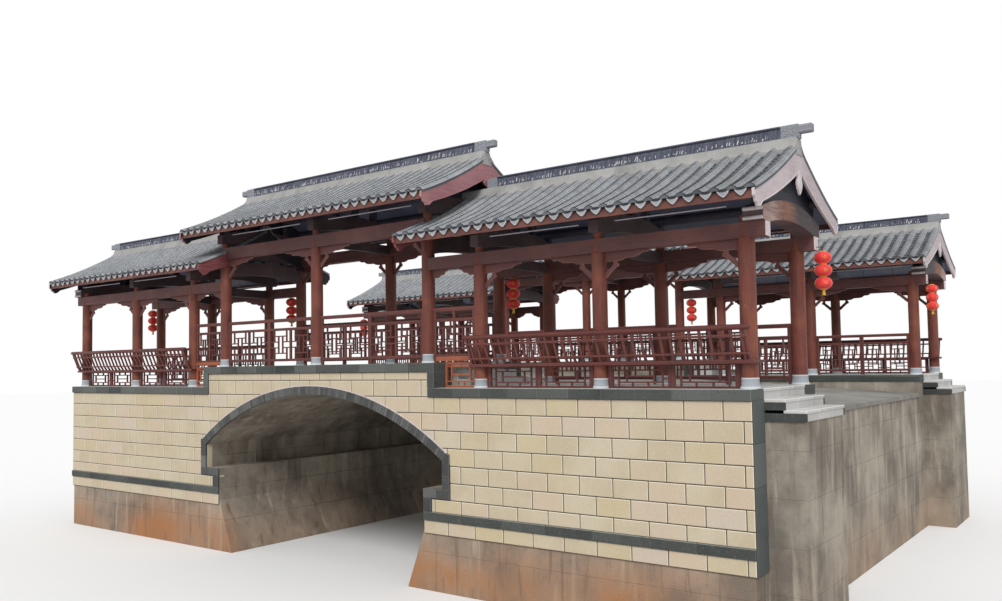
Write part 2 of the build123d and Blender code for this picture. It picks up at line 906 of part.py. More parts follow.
def baluster(x):
    # curved upright leaning out over the water
    w = baluster_width
    zb = z0 + seat_top
    points_out = [(seat_front_t + 5, zb), (seat_front_t - 60, zb + 90), (seat_front_t - 115, zb + 250)]
    points_out += [(bench_rail_t - 25, z0 + 1020)]
    points_in = [(bench_rail_t + 20, z0 + 1020), (seat_front_t - 70, zb + 250)]
    points_in += [(seat_front_t - 15, zb + 100), (seat_front_t + 50, zb)]
    return slab_tz(points_out + points_in, x - w / 2, x + w / 2)


def bench_back():
    items = []
    items.append(tbox(bench_x0, bench_x1, bench_rail_t - 45, bench_rail_t + 35, z0 + 1018, z0 + 1070))
    items.append(tbox(bench_x0 + 90, bench_x1 - 90, bench_rail_t - 15, bench_rail_t + 40, z0 + 905, z0 + 932))
    items.append(tbox(bench_x0 + 60, bench_x1 - 60, seat_front_t - 80, seat_front_t + 5, z0 + 655, z0 + 685))
    count = int((bench_x1 - bench_x0 - 200) / baluster_pitch)
    start = (bench_x0 + bench_x1) / 2 - count * baluster_pitch / 2
    for i in range(count + 1):
        items.append(baluster(start + i * baluster_pitch))
    items.append(baluster(bench_x0 + 75))
    items.append(baluster(bench_x1 - 75))
    return joined(items)


back = cut(bench_back(), posts)
back = [max(back, key=lambda s: s.volume)]
save_both("bench_backs", back + mirror_x(back))


# Lattice panels: frame with crossing bars, all in one plane
def lattice(x0, x1, za, zb, t, bars_x, bars_z, edge):
    half = lattice_depth / 2
    items = [
        tbox(x0, x1, t - half, t + half, zb - edge, zb),
        tbox(x0, x1, t - half, t + half, za, za + edge),
        tbox(x0, x0 + edge, t - half, t + half, za, zb),
        tbox(x1 - edge, x1, t - half, t + half, za, zb),
    ]
    for fx, f0, f1 in bars_x:
        xc = x0 + (x1 - x0) * fx
        b0 = za + (zb - za) * f0
        b1 = za + (zb - za) * f1
        items.append(tbox(xc - lattice_bar / 2, xc + lattice_bar / 2, t - half, t + half, b0, b1))
    for fz, f0, f1 in bars_z:
        zc = za + (zb - za) * fz
        b0 = x0 + (x1 - x0) * f0
        b1 = x0 + (x1 - x0) * f1
        items.append(tbox(b0, b1, t - half, t + half, zc - lattice_bar / 2, zc + lattice_bar / 2))
    return joined(items)


unit_x = [(0.3, 0.0, 1.0), (0.7, 0.0, 1.0), (0.5, 0.2, 0.8)]
unit_z = [(0.2, 0.0, 1.0), (0.8, 0.0, 1.0), (0.5, 0.0, 0.3), (0.5, 0.7, 1.0)]
seat_x = [(0.14, 0.0, 1.0), (0.86, 0.0, 1.0), (0.3, 0.6, 1.0), (0.5, 0.8, 1.0), (0.7, 0.6, 1.0), (0.5, 0.0, 0.25)]
seat_z = [(0.25, 0.0, 1.0), (0.8, 0.0, 1.0), (0.6, 0.14, 0.86)]


def railing(x0, x1, t, deck, cells):
    # a railing bay between two posts, its lattice in equal cells
    half = rail_depth / 2
    a = x0 + post_radius
    b = x1 - post_radius
    items = [
        tbox(a - 20, b + 20, t - half, t + half, deck + rail_top - rail_thickness, deck + rail_top),
        tbox(a - 20, b + 20, t - half, t + half, deck + second_rail_top - second_rail_height, deck + second_rail_top),
        tbox(a - 20, b + 20, t - half, t + half, deck + bottom_rail_top - bottom_rail_height, deck + bottom_rail_top),
        tbox(a - 20, a + stile_width, t - half, t + half, deck, deck + rail_top),
        tbox(b - stile_width, b + 20, t - half, t + half, deck, deck + rail_top),
    ]
    if cells > 2:
        m = (a + b) / 2
        items.append(tbox(m - stile_width / 2, m + stile_width / 2, t - half, t + half, deck, deck + rail_top))
    c0 = a + stile_width
    step = (b - stile_width - c0) / cells
    za = deck + bottom_rail_top - 5
    zb = deck + second_rail_top - second_rail_height + 5
    for i in range(cells):
        items.extend(lattice(c0 + i * step, c0 + (i + 1) * step, za, zb, t, unit_x, unit_z, lattice_bar))
    return joined(items)


mid_rails = []
for a, b in zip(mid_xs[:-1], mid_xs[1:]):
    mid_rails.extend(cut(railing(a, b, post_row_front, z_mid, 4), solids_of([posts, bases])))
save_both("middle_railings", mid_rails)

stair_rail = railing(post_x_mid, post_x_stair, post_row_front, z_mid, 2)
stair_rail = cut(stair_rail, solids_of([posts, bases]))
stair_panel = lattice(
    raised_half_length + coping_height + 5,
    post_x_stair - post_radius + 20,
    z_low,
    z_mid,
    post_row_front,
    [(0.2, 0.25, 0.85), (0.8, 0.25, 0.85), (0.4, 0.0, 0.25), (0.6, 0.0, 0.25), (0.5, 0.85, 1.0)],
    [(0.25, 0.0, 1.0), (0.85, 0.0, 1.0), (0.5, 0.2, 0.8)],
    40,
)
stair_panel = cut(stair_panel, solids_of([posts, bases, coping]))
stair_set = solids_of([stair_rail, stair_panel])
stair_set = joined(stair_set)
save_both("stair_railings", stair_set + mirror_x(stair_set))

seat = tbox(bench_x0, bench_x1, seat_front_t, seat_back_t, z0 + seat_bottom, z0 + seat_top)
seat = cut(seat, solids_of([posts, stair_set]))
seat = [max(seat, key=lambda s: s.volume)]
save_both("bench_seats", seat + mirror_x(seat))

road_rails = []
for a, b in ((post_x_stair, post_x_bay), (post_x_bay, post_x_end)):
    piece = cut(railing(a, b, post_row_back, z_low, 4), solids_of([posts, bases]))
    road_rails.extend(piece + mirror_x(piece))
for a, b in zip(mid_xs[:-1], mid_xs[1:]):
    road_rails.extend(cut(railing(a, b, post_row_back, z_mid, 4), solids_of([posts, bases])))
save_both("road_railings", road_rails)

seat_panels = []
for a, b in ((post_x_stair, post_x_bay), (post_x_bay, post_x_end)):
    a0 = a + post_radius + 60
    b0 = b - post_radius - 60
    m = (a0 + b0) / 2
    for c, d in ((a0, m - 20), (m + 20, b0)):
        seat_panels.extend(
            lattice(c, d, z_low, z0 + seat_bottom, post_row_front, seat_x, seat_z, 34)
        )
seat_panels = cut(seat_panels, solids_of([posts, bases]))
save_both("seat_panels", seat_panels + mirror_x(seat_panels))


# Lantern strings, three lanterns on one cord with a tassel
def lantern_string(x, t, top):
    items = []
    y = gy(t)
    count = 3
    cord = lantern_cord
    length = count * lantern_step + cord
    items.append(tbox(x - 8, x + 8, t - 8, t + 8, top - cord - 20, top))
    if x > stub_end:
        # the end string hangs from a hook on the end of the beam
        items.append(tbox(x - 8, x + 8, t - 8, t + 8, top, top + 60))
        items.append(tbox(stub_end, x + 8, t - 8, t + 8, top + 44, top + 60))
    for i in range(count):
        zc = top - cord - lantern_step * (i + 0.5)
        items.append(Pos(x, y, zc) * scale(Sphere(lantern_radius), (1, 1, lantern_height / 2 / lantern_radius)))
        items.append(Pos(x, y, zc) * Cylinder(45, lantern_step))
    items.append(Pos(x, y, top - length - 45) * Cylinder(28, 100))
    return joined(items)


def lanterns_for(t):
    items = []
    top = z0 + low_beam_bottom
    for x in (stub_end + lantern_reach, lantern_inner_x):
        strings = lantern_string(x, t, top)
        items.extend(strings + mirror_x(strings))
    return items


save_both("lantern_strings", lanterns_for(post_row_back))
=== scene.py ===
import math
import random
import bpy
import bmesh
from mathutils import Matrix, Vector


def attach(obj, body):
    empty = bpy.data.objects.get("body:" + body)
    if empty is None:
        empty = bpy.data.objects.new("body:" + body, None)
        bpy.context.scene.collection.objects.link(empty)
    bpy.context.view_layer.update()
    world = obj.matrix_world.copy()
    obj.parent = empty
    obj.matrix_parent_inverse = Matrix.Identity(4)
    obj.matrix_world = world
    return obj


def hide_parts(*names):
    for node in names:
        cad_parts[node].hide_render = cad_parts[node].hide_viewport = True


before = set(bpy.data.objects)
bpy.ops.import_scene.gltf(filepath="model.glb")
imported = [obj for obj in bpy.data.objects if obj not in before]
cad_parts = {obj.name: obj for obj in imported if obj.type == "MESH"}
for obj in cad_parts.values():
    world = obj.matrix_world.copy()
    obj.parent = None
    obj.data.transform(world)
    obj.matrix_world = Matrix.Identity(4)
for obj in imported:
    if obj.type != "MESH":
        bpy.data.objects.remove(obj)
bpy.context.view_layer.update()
scene = bpy.context.scene
scene.view_settings.view_transform = "Standard"
print("frame loaded:", len(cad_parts), "nodes")

# where things are on the bridge, metres; t is the distance in from the outer wall face
bridge = {
    "halfLength": 9.31,
    "halfWidth": 6.73,
    "copingFoot": 3.45,
    "lowDeck": 3.61,
    "midDeck": 4.065,
    "raisedHalf": 3.3,
    "archShift": 0.113,
    "archHalf": 3.503,
    "springDrop": 1.13,
    "crownHeight": 0.021,
    "ringThickness": 0.166,
    "jambWidth": 0.17,
    "ledgeDrop": 1.64,
    "ledgeHeight": 0.16,
    "ledgeHalf": 3.05,
    "lowerJamb": 0.185,
    "bandTop": 2.05,
    "bandBottom": 2.2,
    "postRows": (0.304, 2.485),
    "lowPosts": (4.3, 6.73, 9.18),
    "midPosts": (-3.07, 0.0, 3.07),
    "postRadius": 0.1225,
    "copingWidth": 0.48,
    "galleryDepth": 2.789,
    "roofLift": 0.75,
}
z0 = bridge["copingFoot"]
lowDeck, midDeck = bridge["lowDeck"], bridge["midDeck"]
wallEnd, raisedHalf = bridge["halfLength"], bridge["raisedHalf"]
postRows, lowPosts, midPosts = bridge["postRows"], bridge["lowPosts"], bridge["midPosts"]
postRadius, roofLift = bridge["postRadius"], bridge["roofLift"]


def gy(t):
    return t - bridge["halfWidth"]


def endSpan(way, a, b):
    # from a to b, at the right end of the bridge or the left
    return sorted((way * a, way * b))


def bothSides(node):
    return ("front_" + node, "back_" + node)


def lengths(a, b, count):
    # equal lengths from a to b
    return [(a + (b - a) * i / count, a + (b - a) * (i + 1) / count) for i in range(count)]


def linear(colour):
    # an 8 bit colour as linear light
    parts = [v / 255 for v in colour]
    return tuple(v / 12.92 if v <= 0.04045 else ((v + 0.055) / 1.055) ** 2.4 for v in parts) + (1.0,)


def shade(colour, factor):
    return tuple(min(1, v * factor) for v in linear(colour)[:3]) + (1,)


finishes = {}


class NodeWork:
    # adds and links the nodes of one tree
    def __init__(self, tree):
        self.tree = tree

    def feed(self, value, slot):
        # a socket is linked; three numbers are a colour
        if isinstance(value, bpy.types.NodeSocket):
            self.tree.links.new(value, slot)
        else:
            slot.default_value = linear(value) if isinstance(value, tuple) and len(value) == 3 else value

    def add(self, kind, feeds=None, **settings):
        made = self.tree.nodes.new(kind)
        for key, value in settings.items():
            setattr(made, key, value)
        for label, value in (feeds or {}).items():
            self.feed(value, made.inputs[label])
        return made.outputs

    def fit(self, value, low, high, outLow=0.0, outHigh=1.0):
        feeds = {"Value": value, "From Min": low, "From Max": high, "To Min": outLow, "To Max": outHigh}
        return self.add("ShaderNodeMapRange", feeds, clamp=True)["Result"]

    def maths(self, kind, a, b):
        return self.add("ShaderNodeMath", {0: a, 1: b}, operation=kind)[0]

    def mix(self, factor, a, b):
        return self.add("ShaderNodeMix", {0: factor, 6: a, 7: b}, data_type="RGBA")[2]


class Finish(NodeWork):
    # a material under construction; base is its colour so far
    def __init__(self, name, roughness=0.8):
        material = finishes[name] = bpy.data.materials.new(name)
        material.use_nodes = True
        NodeWork.__init__(self, material.node_tree)
        self.shader = self.tree.nodes["Principled BSDF"].inputs
        self.shader["Roughness"].default_value = roughness
        self.place = self.add("ShaderNodeTexCoord")["Object"]

    def noise(self, scale, detail=3.0, rough=0.6, stretch=None, twist=0.0):
        place = self.place
        if stretch:
            place = self.add("ShaderNodeMapping", {"Vector": place, "Scale": list(stretch)})["Vector"]
        feeds = {"Vector": place, "Scale": scale, "Detail": detail, "Roughness": rough, "Distortion": twist}
        return self.add("ShaderNodeTexNoise", feeds)["Fac"]

    def placed(self, axis):
        return self.add("ShaderNodeSeparateXYZ", {0: self.place})[axis]

    def away(self):
        # distance from the centre line of the road
        return self.maths("ABSOLUTE", self.placed(1), 0.0)

    def tone(self, name="tone"):
        return self.add("ShaderNodeAttribute", attribute_name=name)["Fac"]

    def blend(self, value, low, high, a, b):
        return self.mix(self.fit(value, low, high), a, b)

    def paint(self, value, low, high, colour, share=1.0, start=0.0):
        # colour laid on as value goes from low to high
        self.base = self.mix(self.fit(value, low, high, start, share), self.base, colour)

    def edges(self, colour, share):
        if colour:
            self.paint(self.tone("edge"), 0.0, 1.0, colour, share)

    def finish(self, relief, depth, gloss=None, low=0.0, high=1.0):
        # bump from relief, roughness from low to high by gloss
        self.feed(self.base, self.shader["Base Color"])
        if gloss:
            self.feed(self.fit(gloss, 0.3, 0.7, low, high), self.shader["Roughness"])
        bump = self.add("ShaderNodeBump", {"Height": relief, "Strength": 1.0, "Distance": depth})
        self.feed(bump["Normal"], self.shader["Normal"])


# dark, middle and light tone, grain, speck share, patch size, relief, edge colour, stain; the edge colour is a painted
# highlight on the chamfers and tops of blocks and tiles
stones = {
    "roadStone": ((120, 118, 112), (150, 148, 142), (176, 174, 168), 60, 0.4, 0.8, 0.003),
    "flamedGranite": ((50, 54, 52), (70, 74, 72), (104, 108, 104), 38, 0.95, 1.4, 0.003, (226, 229, 226)),
    "ringGranite": ((46, 48, 48), (66, 68, 68), (122, 124, 122), 60, 0.9, 1.4, 0.004, (104, 106, 104)),
    "endGranite": ((74, 80, 80), (88, 94, 94), (106, 112, 111), 120, 0.6, 1.4, 0.002, (110, 114, 112)),
    "wallJoint": ((62, 52, 40), (78, 67, 51), (94, 82, 63), 60, 0.4, 1.0, 0.002),
    "paleStep": ((176, 176, 174), (196, 196, 194), (214, 213, 211), 130, 0.25, 1.0, 0.0015,
                 (236, 235, 232), (160, 158, 150)),
    "drumStone": ((140, 147, 154), (158, 165, 172), (180, 186, 192), 140, 0.3, 2.0, 0.0015, (220, 224, 226)),
    "ridgeMortar": ((130, 130, 128), (158, 157, 155), (186, 185, 182), 60, 0.6, 3.0, 0.004, None, (110, 110, 106)),
}


def stoneFinish(name, dark, mid, light, grain, speck, patch, depth, edge=None, stain=None):
    f = Finish(name)
    f.base = f.blend(f.noise(patch, 5), 0.35, 0.65, dark, mid)
    f.paint(f.tone(), 0.0, 1.0, light, 0.75)
    fine = f.noise(grain, 2, 0.8)
    f.paint(fine, 0.42, 0.3, shade(dark, 0.45), speck)
    f.paint(fine, 0.6, 0.75, shade(light, 1.35), speck)
    if stain:
        f.paint(f.noise(2.2, 4, 0.6, (1.0, 1.0, 0.22), 0.4), 0.52, 0.75, stain, 0.55)
    # edge colour: painted highlight on the marked chamfers and tops
    f.edges(edge, 0.85)
    f.finish(fine, depth, fine, 0.7, 0.95)


def wallTileFinish():
    # buff sandstone, most tiles alike, a few greyer, pinker or yellower
    f = Finish("buffWallTile", 0.85)
    f.base = f.blend(f.noise(1.3, 5), 0.38, 0.62, (198, 184, 157), (208, 196, 172))
    f.paint(f.tone(), 0.0, 0.16, (205, 189, 152), 0.0, 0.75)
    f.paint(f.tone(), 0.62, 0.74, (210, 190, 168), 0.7)
    f.paint(f.tone(), 0.93, 0.97, (206, 197, 184), 0.5)
    fine = f.noise(110.0, 3, 0.85)
    f.paint(fine, 0.46, 0.34, (150, 130, 98), 0.5)
    f.paint(fine, 0.56, 0.7, (236, 226, 204), 0.5)
    # pale chamfers: a painted highlight
    f.edges((238, 231, 212), 0.8)
    f.finish(fine, 0.002)


# run of the grain, dark, middle and light tone, wear colour, edge colour, relief; the edge colour is a painted
# highlight, and on the fascia the wear colour is dark patches of painted shadow under the drips
timbers = {
    "postTimber": ("z", (90, 42, 33), (121, 61, 47), (150, 86, 63), (154, 98, 78)),
    "railTimber": ("x", (68, 32, 31), (90, 44, 40), (112, 60, 53), (116, 68, 60), (130, 82, 74)),
    "benchTimber": ("x", (62, 27, 27), (86, 38, 35), (110, 54, 47), (106, 54, 48), (138, 84, 76)),
    "panelTimber": ("x", (132, 66, 46), (160, 86, 58), (182, 104, 70), (170, 106, 84), (196, 136, 112)),
    "beamTimber": ("x", (82, 48, 47), (106, 65, 62), (126, 82, 76)),
    "hangingTimber": ("x", (84, 46, 44), (104, 60, 57), (124, 76, 70), None, (172, 128, 118)),
    "tieTimber": ("y", (68, 52, 56), (88, 69, 72), (112, 90, 90)),
    "strutTimber": ("y", (56, 55, 68), (72, 69, 84), (90, 84, 98)),
    # near black: painted shade for the gable sheets and the backs of the gable boards
    "infillTimber": ("y", (32, 34, 43), (42, 44, 55), (54, 56, 68)),
    "soffitTimber": ("y", (82, 88, 112), (102, 108, 134), (120, 124, 146)),
    # pale grey-pink and pink gable boards: reddish-brown gloss paint with painted reflection of the bright sky
    "paleGableBoard": ("y", (168, 152, 156), (192, 178, 182), (212, 200, 204), (160, 124, 124), (226, 216, 218), 0.002),
    "pinkGableBoard": ("y", (142, 94, 99), (167, 114, 119), (186, 134, 138), (176, 128, 128), (206, 164, 162), 0.002),
    # fascia: its wear colour is dark purple patches of painted shadow under the drips, its edge colour a painted
    # highlight
    "fasciaTimber": ("x", (84, 47, 44), (112, 67, 58), (134, 84, 71), (84, 56, 66), (182, 118, 98)),
}


def timberFinish(name, along, dark, mid, light, wearAndShade=None, edge=None, depth=0.003):
    stretch = tuple(0.6 if axis == along else 9.0 for axis in "xyz")
    f = Finish(name)
    streak = f.noise(3.0, 6, 0.65, stretch, 0.3)
    f.base = f.blend(streak, 0.38, 0.62, dark, mid)
    f.paint(f.noise(1.1, 3), 0.45, 0.7, light, 0.7)
    f.paint(f.tone(), 0.0, 1.0, light, 0.35)
    fine = f.noise(14.0, 4, 0.7, stretch)
    f.paint(fine, 0.45, 0.3, shade(dark, 0.5), 0.55)
    # wear patches; on the fascia, dark patches of painted shadow
    if wearAndShade:
        f.paint(f.noise(7.0, 5, 0.7), 0.62, 0.74, wearAndShade, 0.6)
    # edge colour: painted highlight on chamfers and rail tops
    f.edges(edge, 0.8)
    f.finish(f.maths("ADD", streak, fine), depth, streak, 0.45, 0.75)


def concreteFinish():
    # board-marked concrete with rust-brown stain low down and pale runs
    f = Finish("boardMarkedConcrete")
    f.base = f.blend(f.noise(0.9, 6), 0.38, 0.66, (122, 114, 104), (176, 168, 154))
    runs = f.noise(1.5, 5, 0.62, (3.0, 3.0, 0.28), 0.5)
    f.paint(runs, 0.55, 0.72, (205, 196, 178), 0.7)
    low = f.maths("MULTIPLY", f.fit(f.placed(2), 1.35, 0.4), f.fit(f.noise(0.45, 5), 0.34, 0.6))
    outside = f.fit(f.away(), 6.2, 6.75, 0.3, 0.9)
    f.base = f.mix(f.maths("MULTIPLY", low, outside), f.base, (172, 113, 64))
    f.paint(runs, 0.44, 0.3, (92, 74, 56), 0.65)
    pores = f.add("ShaderNodeTexVoronoi", {"Vector": f.place, "Scale": 26.0}, feature="F1")
    pit = f.fit(pores["Distance"], 0.18, 0.08)
    f.base = f.mix(f.maths("MULTIPLY", pit, 0.5), f.base, (70, 60, 50))
    feeds = {"Vector": f.place, "Scale": 0.46, "Distortion": 0.05}
    boards = f.add("ShaderNodeTexWave", feeds, wave_type="BANDS", bands_direction="Z", wave_profile="SAW")
    seam = f.fit(boards["Fac"], 0.982, 1.0)
    f.base = f.mix(f.maths("MULTIPLY", seam, 0.4), f.base, (74, 64, 54))
    relief = f.maths("SUBTRACT", f.noise(60.0, 3, 0.7), pit)
    f.finish(f.maths("SUBTRACT", relief, f.maths("MULTIPLY", seam, 2.0)), 0.006, runs, 0.8, 0.97)


# dark, middle and light tone, change from tile to tile, edge colour, moss; the edge colour is painted shade at the tile
# ends and laps, in the drip bands, and mixed into the drip fields and chamfers
clays = {
    "coverTile": ((142, 145, 149), (170, 173, 177), (194, 197, 201), 0.4, (64, 66, 72), (158, 162, 160)),
    # pans painted far darker than the covers: painted shade between the cover rows
    "panTile": ((72, 75, 81), (95, 98, 104), (119, 122, 127), 0.5, (38, 39, 43), (94, 98, 94)),
    "ridgeTile": ((66, 69, 86), (90, 93, 110), (118, 121, 136), 0.8),
    "ridgeBlock": ((96, 98, 108), (122, 125, 134), (172, 174, 182), 0.8),
    "dripTile": ((190, 193, 199), (214, 217, 222), (234, 236, 240), 0.5, (46, 48, 56)),
}


def clayFinish(name, dark, mid, light, vary, edge=None, moss=None):
    f = Finish(name, 0.85)
    f.base = f.blend(f.noise(3.0, 5), 0.36, 0.64, dark, mid)
    f.paint(f.tone(), 0.0, 1.0, light, vary)
    spots = f.noise(38.0, 3, 0.8)
    f.paint(spots, 0.58, 0.72, shade(light, 1.3), 0.55)
    f.paint(spots, 0.42, 0.3, shade(dark, 0.4), 0.7)
    if moss:
        f.paint(f.noise(0.8, 4), 0.56, 0.7, moss, 0.5)
    # edge colour: painted shade on the marked faces
    f.edges(edge, 1.0)
    f.finish(spots, 0.002, spots, 0.75, 0.95)


def clothFinish():
    # red lantern cloth, lighter along its ribs
    f = Finish("lanternCloth", 0.6)
    f.base = f.blend(f.noise(9.0, 3), 0.4, 0.65, (226, 36, 42), (250, 68, 62))
    weave = f.noise(160.0, 2, 0.5, (1.0, 1.0, 0.25))
    f.paint(weave, 0.58, 0.7, (254, 120, 100), 0.35)
    f.shader["Sheen Weight"].default_value = 0.25
    f.finish(weave, 0.0008)


def crescentShadeFinish():
    # painted light and shade: pale where the outer end is lit, brown, then dark painted shade towards the road
    f = Finish("crescentLightAndShade", 0.7)
    streak = f.noise(3.0, 5, 0.6, (9.0, 0.8, 9.0), 0.3)
    # lit colour at the outer end, brown half-shade, dark painted shade towards the road
    near = f.blend(streak, 0.35, 0.65, (148, 122, 116), (182, 156, 150))
    far = f.blend(streak, 0.35, 0.65, (44, 38, 43), (66, 54, 56))
    middle = f.blend(streak, 0.35, 0.65, (104, 66, 50), (134, 92, 72))
    wobble = f.maths("ADD", f.away(), f.maths("MULTIPLY", streak, 0.4))
    f.base = f.blend(wobble, 5.95, 6.45, f.blend(wobble, 5.2, 5.75, far, middle), near)
    f.finish(streak, 0.002)


def innerBoardFinish():
    # rose at the eaves that show, painted shade under the upper roof
    f = Finish("innerGableBoard", 0.7)
    streak = f.noise(3.0, 5, 0.6, (9.0, 0.8, 9.0), 0.3)
    rose = f.blend(streak, 0.35, 0.65, (118, 60, 62), (150, 88, 90))
    # painted shade where the upper roof covers the board
    dark = f.blend(streak, 0.35, 0.65, (36, 34, 42), (54, 48, 56))
    f.base = f.blend(f.away(), 6.34, 6.5, dark, rose)
    f.finish(streak, 0.002)


# dark and light tone, size of the mottling, roughness
plains = {
    "beadPaint": ((200, 188, 192), (224, 214, 218), 20, 0.6),
    "lanternCord": ((46, 34, 34), (66, 48, 44), 40, 0.8),
    "giltTrim": ((206, 156, 44), (240, 202, 80), 30, 0.4),
    "lampStrip": ((176, 172, 182), (200, 196, 204), 20, 0.3),
}


def plainFinish(name, dark, light, scale, roughness):
    f = Finish(name, roughness)
    speck = f.noise(scale, 3)
    f.base = f.blend(speck, 0.35, 0.65, dark, light)
    f.finish(speck, 0.0006)


for table, makeFinish in ((stones, stoneFinish), (timbers, timberFinish), (clays, clayFinish), (plains, plainFinish)):
    for name, values in table.items():
        makeFinish(name, *values)
for makeFinish in (concreteFinish, wallTileFinish, crescentShadeFinish, innerBoardFinish, clothFinish):
    makeFinish()

nodesByFinish = {
    "boardMarkedConcrete": "masonry_core",
    "roadStone": "roadway",
    "flamedGranite": "string_courses front_coping back_coping kerbs step_cheeks",
    "endGranite": "end_slabs",
    "ringGranite": "front_arch_ring back_arch_ring",
    "buffWallTile": "front_tile_facing back_tile_facing",
    "paleStep": "gallery_floors inner_treads_lower inner_treads_upper "
                "end_treads_top end_treads_middle end_treads_bottom",
    "drumStone": "post_bases",
    "postTimber": "front_posts back_posts",
    "beamTimber": "front_long_beams back_long_beams",
    "tieTimber": "cross_ties crescent_beams",
    "strutTimber": "purlins purlin_struts",
    "coverTile": "front_low_roofs back_low_roofs front_middle_roof back_middle_roof",
    "ridgeTile": "front_ridges back_ridges",
    "paleGableBoard": "front_gable_boards back_gable_boards gable_pendants",
    "fasciaTimber": "fascia_boards",
    "hangingTimber": "hanging_boards",
    "benchTimber": "bench_seats bench_backs",
    "railTimber": "middle_railings stair_railings road_railings",
    "panelTimber": "seat_panels",
    "lanternCloth": "lantern_strings",
}
for finish, nodes in nodesByFinish.items():
    for node in nodes.split():
        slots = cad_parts[node].data.materials
        slots.clear()
        slots.append(finishes[finish])
print("finishes made:", len(finishes))

# camera, light and floor
view = {
    "place": (13.871, -18.609, 4.021),
    "right": (0.7996, 0.6003, -0.0162),
    "up": (0.0430, -0.0303, 0.9987),
    "lens": 31.484,
    "shift": 0.01966,
    "reach": 400,
}
camera = bpy.data.objects.new("photoCamera", bpy.data.cameras.new("photoCamera"))
scene.collection.objects.link(camera)
right = Vector(view["right"]).normalized()
back = right.cross(Vector(view["up"]).normalized())
axes = (right, back.cross(right), back, view["place"])
camera.matrix_world = Matrix([[axis[row] for axis in axes] for row in range(3)] + [(0, 0, 0, 1)])
camera.data.lens = view["lens"]
camera.data.sensor_width = 36.0
camera.data.shift_y = view["shift"]
camera.data.clip_end = view["reach"]
scene.camera = camera

light = {"sky": 0.72, "sun": 1.7, "sunTurn": (48, 0, 28), "sunSoft": 25}
sun = bpy.data.objects.new("softSun", bpy.data.lights.new("softSun", "SUN"))
sun.data.energy = light["sun"]
sun.data.angle = math.radians(light["sunSoft"])
sun.rotation_euler = [math.radians(a) for a in light["sunTurn"]]
scene.collection.objects.link(sun)


def seenShare(work):
    # 1 for rays that should meet the white background
    path = work.add("ShaderNodeLightPath")
    share = work.maths("MAXIMUM", path["Is Camera Ray"], path["Is Glossy Ray"])
    return work.maths("MAXIMUM", share, path["Is Transmission Ray"])


world = bpy.data.worlds.new("studio")
world.use_nodes = True
scene.world = world
skyWork = NodeWork(world.node_tree)
sky = world.node_tree.nodes["Background"]
skyWork.feed(skyWork.fit(seenShare(skyWork), 0.0, 1.0, light["sky"]), sky.inputs["Strength"])
sky.inputs["Color"].default_value = (1, 1, 1, 1)

floorSizes = {"half": 150, "drop": -0.002, "colour": (0.55, 0.53, 0.51, 1), "seen": (0.9, 0.9, 0.9, 1)}
reach, drop = floorSizes["half"], floorSizes["drop"]
corners = [(-reach, -reach, drop), (reach, -reach, drop), (reach, reach, drop), (-reach, reach, drop)]
floorMesh = bpy.data.meshes.new("floor")
floorMesh.from_pydata(corners, [], [(0, 1, 2, 3)])
floor = bpy.data.objects.new("floor", floorMesh)
scene.collection.objects.link(floor)
floorMat = bpy.data.materials.new("paleFloor")
floorMat.use_nodes = True
floorWork = NodeWork(floorMat.node_tree)
floorShader = floorMat.node_tree.nodes["Principled BSDF"].inputs
floorWork.feed(floorWork.mix(seenShare(floorWork), floorSizes["colour"], floorSizes["seen"]), floorShader["Base Color"])
floorShader["Roughness"].default_value = 1.0
floorShader["Specular IOR Level"].default_value = 0.0
floorMesh.materials.append(floorMat)
print("camera, light and floor set")


def newStock():
    return {"verts": [], "faces": [], "tone": [], "edge": []}


def addFaces(stock, verts, faces, tone=0.5, edges=None):
    start = len(stock["verts"])
    stock["verts"] += [tuple(v) for v in verts]
    stock["faces"] += [tuple(start + v for v in face) for face in faces]
    stock["tone"] += [tone] * len(faces)
    stock["edge"] += edges or [0.0] * len(faces)


def addRings(stock, rings, tone=0.5, bands=None, caps=(0.0, 0.0)):
    # a closed skin through rings of points; bands and caps hold the edge values
    n, last = len(rings[0]), len(rings) - 1
    faces = [tuple(range(n)), tuple(last * n + i for i in range(n))]
    edges = list(caps)
    for r in range(last):
        for i in range(n):
            j = (i + 1) % n
            faces.append((r * n + i, r * n + j, (r + 1) * n + j, (r + 1) * n + i))
            edges.append(bands[r] if bands else 0.0)
    addFaces(stock, [v for points in rings for v in points], faces, tone, edges)


def inset(outline, width):
    # the outline moved inwards by width, mitred at its corners
    area = sum(a[0] * b[1] - b[0] * a[1] for a, b in zip(outline, outline[1:] + outline[:1]))
    way = 1 if area > 0 else -1
    made = []
    for i, point in enumerate(outline):
        here, after = Vector(point), Vector(outline[(i + 1) % len(outline)])
        d0, d1 = (here - Vector(outline[i - 1])).normalized(), (after - here).normalized()
        mid = Vector((-d0.y - d1.y, d0.x + d1.x)) * way
        scale = width * 2 / max(mid.dot(mid), 0.5)
        made.append((point[0] + mid.x * scale, point[1] + mid.y * scale))
    return made


def addPlate(stock, outline, place, depth, chamfer=0.0, tone=0.5, frontEdge=0.0, front=0.0):
    # a plate with a chamfered front; place(a, b, d) puts its points, d runs inwards
    levels = [(outline, depth), (outline, chamfer)]
    if chamfer:
        levels.append((inset(outline, chamfer), 0.0))
    rings = [[place(a, b, d + front) for a, b in points] for points, d in levels]
    addRings(stock, rings, tone, (0.0, 1.0), (0.0, frontEdge))


def addTwoFaced(stock, outline, place, depth, chamfer, tone):
    # a plate chamfered on both faces, the chamfers pale as a painted highlight
    small = inset(outline, chamfer)
    levels = ((small, 0.0), (outline, chamfer), (outline, depth - chamfer), (small, depth))
    addRings(stock, [[place(a, b, d) for a, b in points] for points, d in levels], tone, (1.0, 0.35, 1.0))


